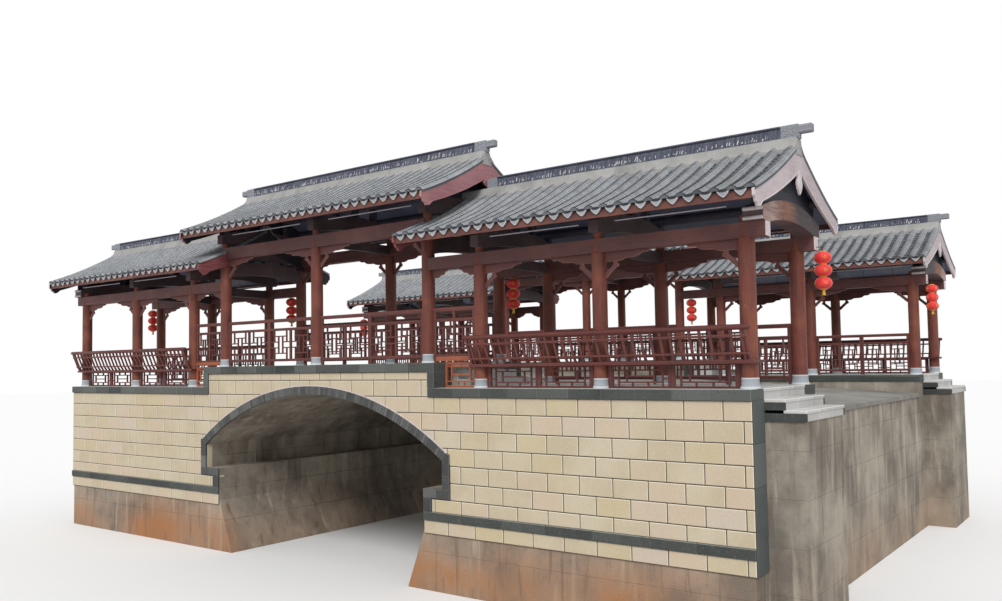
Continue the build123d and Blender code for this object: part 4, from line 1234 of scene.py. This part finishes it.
def hangingBoards():
    # stepped boards under the long beams, each with a straight brace at the post
    stock = newStock()
    chance = random.Random(frameTimber["seed"])
    drop, half = frameTimber["braceDrop"], frameTimber["boardHalf"]
    brace = [(0.0, -drop), (0.03, -drop), (0.2, -0.25), (0.245, -0.235), (0.252, -0.2), (0.215, -0.149),
             (0.165, -0.149), (0.16, -0.2), (0.0, 0.07 - drop)]
    for row in postRows:
        line = (midPosts[2:] if row == postRows[0] else ()) + lowPosts
        bays = [(a, b, lowBeam, (1, -1)) for a, b in zip(line, line[1:])]
        bays += [(a, b, midBeam, (1,)) for a, b in zip(midPosts, midPosts[1:])]
        for a, b, top, sides in bays:
            length = min(frameTimber["boardLength"], frameTimber["boardShare"] * (b - a - 2 * postRadius + 0.04))
            steps = [(0.0, 0.0), (length, 0.0), (length - 0.01, -0.03)]
            steps += [(length * share, z) for share, z in frameTimber["boardSteps"]] + [(0.0, -0.15)]
            outlines = (steps, brace) if length >= 0.4 else (steps,)
            for way, origin in ((1, a + postRadius - 0.012), (-1, b - postRadius + 0.012)):
                for outline in outlines:
                    tone = chance.random()
                    for side in sides:
                        points = [(side * (origin + way * x), top + z) for x, z in outline]
                        addTwoFaced(stock, points, lambda a, b, d: (a, gy(row - half) + d, b), half * 2, 0.004, tone)
    return stock


def postTongues():
    # the pointed top of each post, running up the face of its beam
    stock = newStock()
    n = 9
    rim = list(range(n)) + [j * n + n - 1 for j in range(1, n)]
    rim += [(n - 1) * n + i for i in range(n - 2, -1, -1)] + [j * n for j in range(n - 2, 0, -1)]
    m = n * n
    front = [(i, i + 1, i + n + 1, i + n) for i in range(m - n) if i % n < n - 1]
    faces = front + [tuple(m + k for k in reversed(f)) for f in front]
    faces += [(a, b, m + b, m + a) for a, b in zip(rim, rim[1:] + rim[:1])]
    spots = [(x, lowBeam) for x in lowSpots] + [(x, midBeam) for x in midPosts]
    for row in postRows:
        for x, base in spots:
            for side in (-1, 1):
                verts = []
                for j in range(n):
                    h = j / (n - 1)
                    z = base - 0.05 + (frameTimber["tongueHeight"] + 0.05) * h
                    taper = (1 - max(h - 0.2, 0) / 0.8) ** 0.8 * (1.1 - 0.1 * h)
                    half = frameTimber["tongueHalf"] * taper + 0.002
                    swell = 0.027 * (1 - 0.75 * h)
                    for i in range(n):
                        u = -1 + 2 * i / (n - 1)
                        out = frameTimber["beamHalf"] - 0.004 + swell * (1 - u * u)
                        verts.append((x + half * u, gy(row + side * out), z))
                back = gy(row + side * (frameTimber["beamHalf"] - 0.02))
                addFaces(stock, verts + [(v[0], back, v[2]) for v in verts], faces, 0.6)
    return stock


makePiece("steppedBoards", hangingBoards(), "hangingTimber", ("hanging_boards",))
makePiece("postTongues", postTongues(), "postTimber", smooth=50)

railing = {
    "railLevels": ((0.93, 1.0), (0.745, 0.8), (0.09, 0.145)),
    "cellLevels": (0.14, 0.75),
    "depth": 0.06,
    "stile": 0.06,
    "middleStile": 0.09,
    "divider": 0.045,
    "bar": 0.024,
    "barDepth": 0.036,
    "stairPanel": (3.467, 4.185),
    "stairRail": (3.26, 4.18),
    "seatFrame": 0.034,
    "stairFrame": 0.04,
    "seed": 41,
}
# bars of one lattice cell: place, from, to, as shares of the cell
motifs = {
    "rail": {
        "up": ((0.2, 0.0, 0.38), (0.2, 0.62, 1.0), (0.83, 0.0, 0.38), (0.83, 0.62, 1.0), (0.41, 0.2, 0.8),
               (0.62, 0.2, 0.8)),
        "across": ((0.2, 0.2, 0.83), (0.8, 0.2, 0.83), (0.4, 0.0, 0.41), (0.4, 0.62, 1.0), (0.6, 0.0, 0.41),
                   (0.6, 0.62, 1.0)),
    },
    "seat": {
        "up": ((0.13, 0.0, 1.0), (0.87, 0.0, 1.0), (0.27, 0.25, 0.75), (0.73, 0.25, 0.75), (0.37, 0.75, 1.0),
               (0.63, 0.75, 1.0), (0.37, 0.0, 0.25), (0.63, 0.0, 0.25)),
        "across": ((0.75, 0.13, 0.87), (0.25, 0.13, 0.87), (0.5, 0.27, 0.73), (0.4, 0.0, 0.13), (0.4, 0.87, 1.0)),
    },
    "stair": {
        "up": ((0.2, 0.25, 0.85), (0.8, 0.25, 0.85), (0.4, 0.0, 0.25), (0.6, 0.0, 0.25), (0.5, 0.85, 1.0)),
        "across": ((0.25, 0.0, 1.0), (0.85, 0.0, 1.0), (0.52, 0.2, 0.8)),
    },
}


def addBar(stock, x0, x1, za, zb, t, depth, tone, chamfer=0.003):
    addBlock(stock, (x0, gy(t - depth / 2), za), (x1, gy(t + depth / 2), zb), chamfer, tone)


def addCell(stock, x0, x1, za, zb, t, motif, chance, edge=0.0):
    # one lattice cell, with a frame of its own where it stands alone
    half, depth = railing["bar"] / 2, railing["barDepth"]
    wide, tall = x1 - x0, zb - za
    if edge:
        for a, b, c, d, extra in (
            (x0, x1, zb - edge, zb, 0.01),
            (x0, x1, za, za + edge, 0.01),
            (x0, x0 + edge, za, zb, 0.013),
            (x1 - edge, x1, za, zb, 0.013),
        ):
            addBar(stock, a, b, c, d, t, depth + extra, chance.random())
    for u, v0, v1 in motifs[motif]["up"]:
        x, low, high = x0 + wide * u, za + tall * v0 - half * (v0 > 0), za + tall * v1 + half * (v1 < 1)
        addBar(stock, x - half, x + half, low, high, t, depth, chance.random())
    for v, u0, u1 in motifs[motif]["across"]:
        z = za + tall * v
        addBar(stock, x0 + wide * u0, x0 + wide * u1, z - half, z + half, t, depth - 0.003, chance.random())


def addRailing(stock, x0, x1, t, deck, cells, chance):
    a, b = x0 + postRadius, x1 - postRadius
    for i, (low, high) in enumerate(railing["railLevels"]):
        depth, chamfer = (railing["depth"], 0.006) if i else (railing["depth"] + 0.012, 0.012)
        addBar(stock, a - 0.008, b + 0.008, deck + low, deck + high, t, depth, chance.random(), chamfer)
    stile, divider = railing["stile"], railing["divider"] / 2
    middle = (a + b) / 2
    wide = railing["middleStile"] / 2 if cells > 2 else divider
    for low, high in ((a - 0.004, a + stile), (b - stile, b + 0.004), (middle - wide, middle + wide)):
        addBar(stock, low, high, deck + 0.002, deck + 0.935, t, railing["depth"] - 0.006, chance.random(), 0.005)
    za, zb = (deck + level for level in railing["cellLevels"])
    for low, high in ((a + stile, middle - wide), (middle + wide, b - stile)):
        cellEnds = [(low, high)]
        if cells > 2:
            m = (low + high) / 2
            addBar(stock, m - divider, m + divider, za, zb, t, railing["depth"] - 0.012, chance.random(), 0.004)
            cellEnds = [(low, m - divider), (m + divider, high)]
        for c0, c1 in cellEnds:
            addCell(stock, c0, c1, za, zb, t, "rail", chance)


def railingStock():
    outer, road = newStock(), newStock()
    chance = random.Random(railing["seed"])
    front, inner = postRows
    for a, b in zip(midPosts, midPosts[1:]):
        addRailing(outer, a, b, front, midDeck, 4, chance)
        addRailing(road, a, b, inner, midDeck, 4, chance)
    for way in (1, -1):
        addRailing(outer, *endSpan(way, midPosts[2], lowPosts[0]), front, midDeck, 2, chance)
        for c, d in zip(lowPosts, lowPosts[1:]):
            addRailing(road, *endSpan(way, c, d), inner, lowDeck, 4, chance)
    return outer, road


def stairPanels():
    stock = newStock()
    chance = random.Random(railing["seed"] + 2)
    for way in (1, -1):
        x0, x1 = endSpan(way, *railing["stairPanel"])
        frameWidth = railing["stairFrame"]
        addCell(stock, x0, x1, lowDeck + 0.002, midDeck - 0.002, postRows[0], "stair", chance, frameWidth)
        x0, x1 = endSpan(way, *railing["stairRail"])
        addBar(stock, x0, x1, midDeck + 0.03, midDeck + 0.11, postRows[0], 0.066, 0.8, 0.006)
    return stock


def underSeat():
    # lattice panels under the bench seats, two to a bay
    stock = newStock()
    chance = random.Random(railing["seed"] + 6)
    t, za, zb = postRows[0], lowDeck + 0.002, z0 + 0.536
    for a, b in zip(lowPosts, lowPosts[1:]):
        m = (a + b) / 2
        for way in (1, -1):
            for c, d in ((a + 0.1825, m - 0.02), (m + 0.02, b - 0.1825)):
                addCell(stock, *endSpan(way, c, d), za, zb, t, "seat", chance, railing["seatFrame"])
            for x, half, depth in ((m, 0.03, 0.055), (a + 0.16, 0.024, 0.053), (b - 0.16, 0.024, 0.053)):
                addBar(stock, way * x - half, way * x + half, za, zb, t, depth, chance.random(), 0.004)
    return stock


outerRails, roadRails = railingStock()
makePiece("outerRailings", outerRails, "railTimber", ("middle_railings",))
makePiece("roadRailings", roadRails, "railTimber", ("road_railings",))
makePiece("stairPanels", stairPanels(), "panelTimber", ("stair_railings",))
makePiece("underSeatLattice", underSeat(), "benchTimber", ("seat_panels",))

bench = {
    "x": (4.15, 9.33),
    "topRail": (-0.035, 1.04, 0.05, 0.041),
    "pitch": 0.158,
    "halfWidth": 0.019,
    "endHalfWidth": 0.022,
    "seat": (0.535, 0.577),
    "seatFront": 0.13,
    "seed": 51,
}


def curveThrough(points, steps=4):
    # a smooth line through the given points
    made = []
    padded = [Vector(p) for p in points[:1] + points + points[-1:]]
    for p0, p1, p2, p3 in zip(padded, padded[1:], padded[2:], padded[3:]):
        for u in [s / steps for s in range(steps)]:
            bend = (2 * p0 - 5 * p1 + 4 * p2 - p3) * u * u + (3 * p1 - p0 - 3 * p2 + p3) * u ** 3
            made.append(tuple(0.5 * (2 * p1 + (p2 - p0) * u + bend)))
    return made + [tuple(points[-1])]


def balusterMesh(name, wide, halfWidth):
    # S-curved upright, thicker at the seat, its chamfers pale as a painted highlight
    stock = newStock()
    outer = curveThrough([(0.132, 0.578), (0.078, 0.667), (0.026, 0.8), (-0.024, 0.92), (-0.052, 1.024)])
    inner = curveThrough([(-0.016, 1.024), (0.016, 0.92), (0.062, 0.8), (0.112, 0.677), (0.176, 0.578)])
    outline = [(t - wide, z) for t, z in outer] + inner
    addTwoFaced(stock, outline, lambda a, b, d: (d - halfWidth, gy(a), z0 + b), halfWidth * 2, 0.004, 0.5)
    return meshFrom(name, stock)


def benchRows():
    x0, x1 = bench["x"]
    pitch, seed = bench["pitch"], bench["seed"]
    count = int((x1 - x0 - 0.2) / pitch)
    first = (x0 + x1) / 2 - count * pitch / 2
    plain = balusterMesh("baluster", 0.0, bench["halfWidth"])
    ends = balusterMesh("endBaluster", 0.006, bench["endHalfWidth"])
    meshes = []
    for i, side in enumerate((first, -(first + count * pitch))):
        meshes.append(rowMesh("balusterRow%d" % i, plain, [(side, 0, 0)], count + 1, pitch, seed + i, "benchTimber"))
    starts = [(x0 + 0.075, 0, 0), (-x1 + 0.075, 0, 0)]
    meshes.append(rowMesh("endBalusters", ends, starts, 2, x1 - x0 - 0.15, seed + 2, "benchTimber"))
    return joinMeshes("balusters", meshes, True)


def benchRails():
    stock = newStock()
    t, z, w, h = bench["topRail"]
    (seatLow, seatHigh), front = bench["seat"], bench["seatFront"]
    # distance from the end and size of the section there
    rounding = ((0.0, 0.35), (0.008, 0.72), (0.022, 0.92), (0.045, 1.0), (2.0, 1.0))
    # shortening, depth from and to, height from and to, chamfer, tone, top edge; the top edge marks a painted highlight
    # on the rail top
    rails = (
        (0.06, -0.045, 0.008, 0.9, 0.936, 0.006, 0.4, 0.7),
        (0.06, 0.05, 0.135, 0.655, 0.685, 0.005, 0.3, 0.4),
        (0.002, front - 0.014, front + 0.004, seatLow - 0.008, seatHigh + 0.002, 0.006, 0.9, 0.0),
    )
    for way in (1, -1):
        x0, x1 = endSpan(way, *bench["x"])
        stations = [(x0 + d, g) for d, g in rounding] + [(x1 - d, g) for d, g in reversed(rounding)]
        path = [(x, gy(t), z0 + z) for x, g in stations]
        addSweep(stock, path, ring(w, 14, h / w), 0.85, (0, 1, 0), [g for x, g in stations])
        for short, ta, tb, za, zb, chamfer, tone, topEdge in rails:
            low, high = (x0 + short, gy(ta), z0 + za), (x1 - short, gy(tb), z0 + zb)
            addBlock(stock, low, high, chamfer, tone, topEdge=topEdge)
    return stock


keepPiece("benchBalusters", benchRows(), ("bench_backs",))
makePiece("benchRails", benchRails(), "benchTimber", smooth=40)
print("frame details, railings and benches made")

gable = {
    "outer": 9.59,
    "mid": 3.61,
    "inner": 2.93,
    "thick": 0.04,
    "eaveDepth": 0.25,
    "apexDepth": 0.4,
    "tip": (0.155, 0.03),
    "footSteps": ((0.1, -0.233), (0.07, -0.226), (0.056, -0.208), (0.05, -0.18), (0.036, -0.164), (0.012, -0.152),
                  (0.0, -0.14)),
    "bead": 0.011,
    "fillet": 0.016,
    "infills": ((9.43, 2.55, 0.0), (3.12, 3.4, roofLift)),
    "crescentEnd": 9.5,
    "crescentFoot": 2.55,
}
tipT, eaveZ = eaveT + gable["tip"][0], roofZ(eaveT)
tipZ = eaveZ - gable["eaveDepth"] - gable["tip"][1]


def boardFoot(u, raised=0.0):
    # a point of the swept lower edge, u from the tip to the ridge
    t = tipT + (ridgeT - tipT) * u
    return t, roofZ(t) - 0.045 - (gable["eaveDepth"] + (gable["apexDepth"] - gable["eaveDepth"]) * u) + raised


def gableBoards():
    # swept boards with a stepped foot, one outline from eave to eave
    stocks = pale, pink, under, backs = newStock(), newStock(), newStock(), newStock()
    half = [boardFoot((13 - i) / 13) for i in range(13)]
    foot = ((0.06, 0.015), (0.02, 0.003), (-0.02, 0.0), (-0.036, 0.012), (-0.045, 0.035))
    half += [(tipT + a, tipZ + b) for a, b in foot]
    half += [(eaveT + a, eaveZ + b) for a, b in gable["footSteps"]]
    for i in range(15):
        t = eaveT + (ridgeT - eaveT) * i / 14
        half.append((t, roofZ(t) - (0.012 if i > 12 else 0.046)))
    outline = half + [(2 * ridgeT - t, z) for t, z in reversed(half[1:-1])]
    for stock, x, lift in ((pale, gable["outer"], 0.0), (under, gable["inner"], 0.0), (pink, gable["mid"], roofLift)):
        for way in (1, -1):
            addTwoFaced(stock, outline, lambda a, b, d: (way * (x + d), gy(a), b + lift), gable["thick"], 0.005, 0.5)
            # near-black plates on the inner faces: painted shade
            if stock is not under:
                behind = lambda a, b, d: (way * (x + 0.0005 - d), gy(a), b + lift)
                addPlate(backs, inset(outline, 0.004), behind, 0.004, 0.0, 0.4)
    return stocks


def gableInfills(count=24):
    # near-black sheets of painted shade between each end crescent and the roof over it
    stock = newStock()
    t0, t1 = postRows[0] - 0.15, postRows[1] + 0.15
    middle = (t0 + t1) / 2
    for x, foot, lift in gable["infills"]:
        for way in (1, -1):
            rings = []
            for t in [t0 + (t1 - t0) * i / count for i in range(count + 1)]:
                low = z0 + foot + 0.36 - 0.2 * ((t - middle) / (t1 - middle)) ** 2
                high = roofZ(t) - 0.1 + lift
                section = ((0.0, low), (0.03, low), (0.03, high), (0.0, high))
                rings.append([(way * (x - d), gy(t), z) for d, z in section])
            addRings(stock, rings, 0.3)
    return stock


def crescentTrim():
    # outer faces of the end crescents carrying painted light and shade, rolls on their ends, pale beam ends
    faces, pale = newStock(), newStock()
    low, end = z0 + gable["crescentFoot"], gable["crescentEnd"]
    t0, t1 = postRows[0] - 0.17, postRows[1] + 0.17
    middle = (t0 + t1) / 2

    def arc(left, right, base, height, steps=18):
        half = (right - left) / 2
        radius = (half * half + height * height) / (2 * height)
        stations = [left + (right - left) * i / steps for i in range(steps + 1)]
        return [(t, base + height - radius + math.sqrt(radius * radius - (t - middle) ** 2)) for t in stations]

    inner = arc(postRows[0] + postRadius, postRows[1] - postRadius, low, 0.1)
    outline = [(t0, low)] + inner + [(t1, low)] + arc(t0, t1, low + 0.2, 0.2)[::-1]
    outline = [(t, z + 0.002) for t, z in outline]
    for way in (1, -1):
        place = lambda a, b, d: (way * (end + 0.006 - d), gy(a), b)
        addPlate(faces, outline, place, 0.005, 0.002)
        for row in postRows:
            square = [(row + a, z0 + z) for a, z in ((-0.096, 2.329), (0.096, 2.329), (0.096, 2.546), (-0.096, 2.546))]
            addPlate(pale, square, place, 0.005, 0.002)
        x0, x1 = endSpan(way, 9.204, end)
        for t in (t0 - 0.004, t1 + 0.004):
            for z, r in ((low + 0.168, 0.03), (low + 0.034, 0.026)):
                path = [(x, gy(t), z) for x in (x0, x0 + 0.012, x1 - 0.012, x1)]
                addSweep(pale, path, ring(r, 14), 0.5, (0, 1, 0), (0.7, 1.0, 1.0, 0.7))
    return faces, pale


def gableMouldings():
    # a pale bead along the foot of each gable board, a dark fillet of painted shade along its top where the verge tiles
    # overhang
    pale, rose, dark = newStock(), newStock(), newStock()
    lower = [(eaveT + a, eaveZ + b) for a, b in ((0.012, -0.14), (0.05, -0.175), (0.062, -0.218), (0.105, -0.236))]
    lower += [(tipT - 0.012, tipZ + 0.012), (tipT + 0.06, tipZ + 0.022)]
    lower += [boardFoot(i / 12, 0.01) for i in range(1, 13)]
    upper = [eaveT + 0.02 + (ridgeT - eaveT - 0.02) * i / 14 for i in range(15)]
    upper = [(t, roofZ(t) - 0.066) for t in upper]
    for stock, face, lift in ((pale, gable["outer"], 0.0), (rose, gable["mid"], roofLift)):
        for x, side in ((way * (face + gable["thick"] + 0.001), (way, 0, 0)) for way in (1, -1)):
            for target, line, half in ((stock, lower, gable["bead"]), (dark, upper, gable["fillet"])):
                section = [(-0.003, -half), (0.005, -half * 0.6), (0.005, half * 0.6), (-0.003, half)]
                addSweep(target, [(x, gy(t), z + lift) for t, z in overRidge(line)], section, 0.8, side)
    return pale, rose, dark


def softened(outline):
    # corner cutting: rounds an outline a little
    made = []
    for p, q in zip(outline, outline[1:] + outline[:1]):
        made += [(p[0] * a + q[0] * (1 - a), p[1] * a + q[1] * (1 - a)) for a in (0.75, 0.25)]
    return made


def pendantMesh(face, lift, height):
    # hanging fish board under a gable apex: lobed, with raised rims
    stock = newStock()
    half = ((0.025, 0.0), (0.1, -0.18), (0.075, -0.32), (0.125, -0.5), (0.0875, -0.75), (0.012, -1.0))
    shape = [(t, z * height) for t, z in half]
    shape = softened(softened(shape + [(-t, z) for t, z in reversed(shape)]))
    field = [(a * 0.62, b * 0.62 - height * 0.19) for a, b in shape]
    top = roofZ(ridgeT) - 0.445 + lift
    for way in (1, -1):
        place = lambda a, b, d: (way * (face + gable["thick"] + 0.002 - d), gy(ridgeT + a), top + b)
        addPlate(stock, shape, place, 0.034, 0.008, 0.7)
        addPlate(stock, field, place, 0.007, 0.003, 0.2, 0.0, -0.006)
    return stock


paleBoards, pinkBoards, underBoards, boardBacks = gableBoards()
makePiece("outerGableBoards", paleBoards, "paleGableBoard", bothSides("gable_boards"))
makePiece("middleGableBoards", pinkBoards, "pinkGableBoard")
makePiece("innerGableBoards", underBoards, "innerGableBoard")
makePiece("gableBoardBacks", boardBacks, "infillTimber")
makePiece("gableInfills", gableInfills(), "infillTimber")
crescentFaces, paleEnds = crescentTrim()
makePiece("crescentFaces", crescentFaces, "crescentLightAndShade")
makePiece("paleBeamEnds", paleEnds, "beadPaint", smooth=40)
beads, roseBeads, shadedFillets = gableMouldings()
makePiece("gableBeads", beads, "beadPaint")
makePiece("roseBeads", roseBeads, "pinkGableBoard")
makePiece("gableFillets", shadedFillets, "panTile")
makePiece("gableFish", pendantMesh(gable["outer"], 0.0, 0.36), "beadPaint", ("gable_pendants",))
makePiece("middleGableFish", pendantMesh(gable["mid"], roofLift, 0.175), "pinkGableBoard")

lamps = {
    "t": -0.1,
    "height": 2.748,
    "radius": 0.011,
    "hanger": 0.005,
    "lowInset": (0.53, 0.12),
    "midInset": (0.8, 0.05),
}


def eaveLamps():
    # thin lamp strips hung under the eaves, one to a bay
    tubes, hangers = newStock(), newStock()
    bays = [(a, b, lamps["lowInset"], 0.0) for c, d in zip(lowPosts, lowPosts[1:]) for a, b in ((c, d), (-d, -c))]
    bays += [(a, b, lamps["midInset"], roofLift) for a, b in zip(midPosts, midPosts[1:])]
    h = lamps["hanger"]
    for y in (gy(lamps["t"]), gy(2 * ridgeT - lamps["t"])):
        for a, b, (left, right), lift in bays:
            x0, x1, z = a + left, b - right, z0 + lamps["height"] + lift
            path = [(x, y, z) for x in (x0, x0 + 0.01, x1 - 0.01, x1)]
            addSweep(tubes, path, ring(lamps["radius"], 8), 0.6, (0, 1, 0), (0.6, 1.0, 1.0, 0.6))
            top = roofZ(lamps["t"]) - 0.105 + lift
            for x in (x0 + 0.15, (x0 + x1) / 2, x1 - 0.15):
                addBlock(hangers, (x - h, y - h, z + 0.006), (x + h, y + h, top), 0.001, 0.2)
    return tubes, hangers


tubes, hangers = eaveLamps()
makePiece("eaveLampStrips", tubes, "lampStrip", smooth=50)
makePiece("lampHangers", hangers, "beamTimber")

lantern = {
    "radius": 0.14,
    "half": 0.1,
    "step": 0.207,
    "cord": 0.02,
    "ribs": 20,
    "collar": 0.058,
    "outer": 9.6,
    "inner": 3.43,
    "beamEnd": 9.5,
    "petals": 6,
}


def lanternStocks():
    # three ribbed lanterns on a cord, gilt collars, a yellow tassel
    stocks = cloth, gilt, cord, tassel = newStock(), newStock(), newStock(), newStock()
    top, cy, radius = lowBeam, gy(postRows[1]), lantern["radius"]
    around, up = lantern["ribs"] * 3, 13
    length = lantern["cord"] + 3 * lantern["step"]

    def upright(stock, cx, z, stations, size, sides, tone):
        # turned about the cord; stations are heights from z and sizes there
        path = [(cx, cy, z + h) for h, g in stations]
        addSweep(stock, path, ring(size, sides), tone, grow=[g for h, g in stations])

    for x in (lantern["outer"], lantern["inner"]):
        for way in (1, -1):
            cx = way * x
            isOuter = x > lantern["beamEnd"]
            upright(cord, cx, top, ((0.052 * isOuter, 1.0), (-length, 1.0)), 0.006, 6, 0.4)
            if isOuter:
                a, b = endSpan(way, lantern["beamEnd"], x + 0.006)
                addBlock(cord, (a, cy - 0.006, top + 0.046), (b, cy + 0.006, top + 0.058), 0.002, 0.4)
            for k in range(3):
                cz = top - lantern["cord"] - lantern["step"] * (k + 0.5)
                rings = []
                for j in range(up):
                    s = math.pi * (j + 0.9) / (up + 0.8)
                    wide, z = radius * math.sin(s) ** 0.82, cz + lantern["half"] * math.cos(s)
                    points = []
                    for a in [2 * math.pi * i / around for i in range(around)]:
                        r = wide * (1 - 0.035 * abs(math.cos(lantern["ribs"] * a / 2)) ** 3)
                        points.append((cx + r * math.cos(a), cy + r * math.sin(a), z))
                    rings.append(points)
                addRings(cloth, rings)
                for side in (-1, 1):
                    collar = ((-0.009, 0.85), (-0.004, 1.0), (0.004, 1.0), (0.009, 0.85))
                    upright(gilt, cx, cz + side * (lantern["half"] - 0.003), collar, lantern["collar"], 18, 0.6)
                # a gilt rosette of plain petals on four sides
                for q in range(4):
                    turn = Matrix.Rotation(q * math.pi / 2 + 0.6, 4, "Z")
                    for a in [2 * math.pi * p / lantern["petals"] for p in range(lantern["petals"])]:
                        spot = turn @ Vector((radius * 0.985, 0.022 * math.cos(a), 0.022 * math.sin(a)))
                        path = [(cx + spot.x * s, cy + spot.y * s, cz + spot.z) for s in (0.97, 1.006)]
                        addSweep(gilt, path, ring(0.008, 6), 0.8)
            strands = ((0.004, 0.5), (-0.012, 1.0), (-0.03, 0.8), (-0.09, 1.15))
            upright(tassel, cx, top - length, strands, 0.027, 12, 0.6)
    return stocks


cloth, gilt, cord, tassel = lanternStocks()
makePiece("lanternCloth", cloth, "lanternCloth", ("lantern_strings",), 35)
makePiece("lanternGilt", gilt, "giltTrim", smooth=40)
makePiece("lanternCords", cord, "lanternCord")
makePiece("lanternTassels", tassel, "giltTrim", smooth=40)

# height, radius and edge value up the profile
drum = {
    "profile": ((0.0, 0.14, 1.0), (0.004, 0.142, 1.0), (0.026, 0.142, 1.0), (0.032, 0.136, 0.0), (0.042, 0.13, 0.0),
                (0.09, 0.126, 0.0), (0.13, 0.1245, 0.0), (0.14, 0.127, 0.6), (0.154, 0.127, 0.6), (0.16, 0.123, 0.0)),
    "sides": 28,
}


def drumStock():
    # turned stone drums under the posts, a pale bead at the foot
    stock = newStock()
    spots = [(x, lowDeck) for x in lowSpots] + [(x, midDeck) for x in midPosts]
    bands = [edge for h, r, edge in drum["profile"]]
    for row in postRows:
        for x, deck in spots:
            addRings(stock, [
                [(x + a, gy(row) + b, deck + h) for a, b in ring(r, drum["sides"])] for h, r, edge in drum["profile"]
            ], bands=bands)
    return stock


makePiece("postDrums", drumStock(), "drumStone", ("post_bases",), 35)
print("gables, lamps, lanterns and drums made")
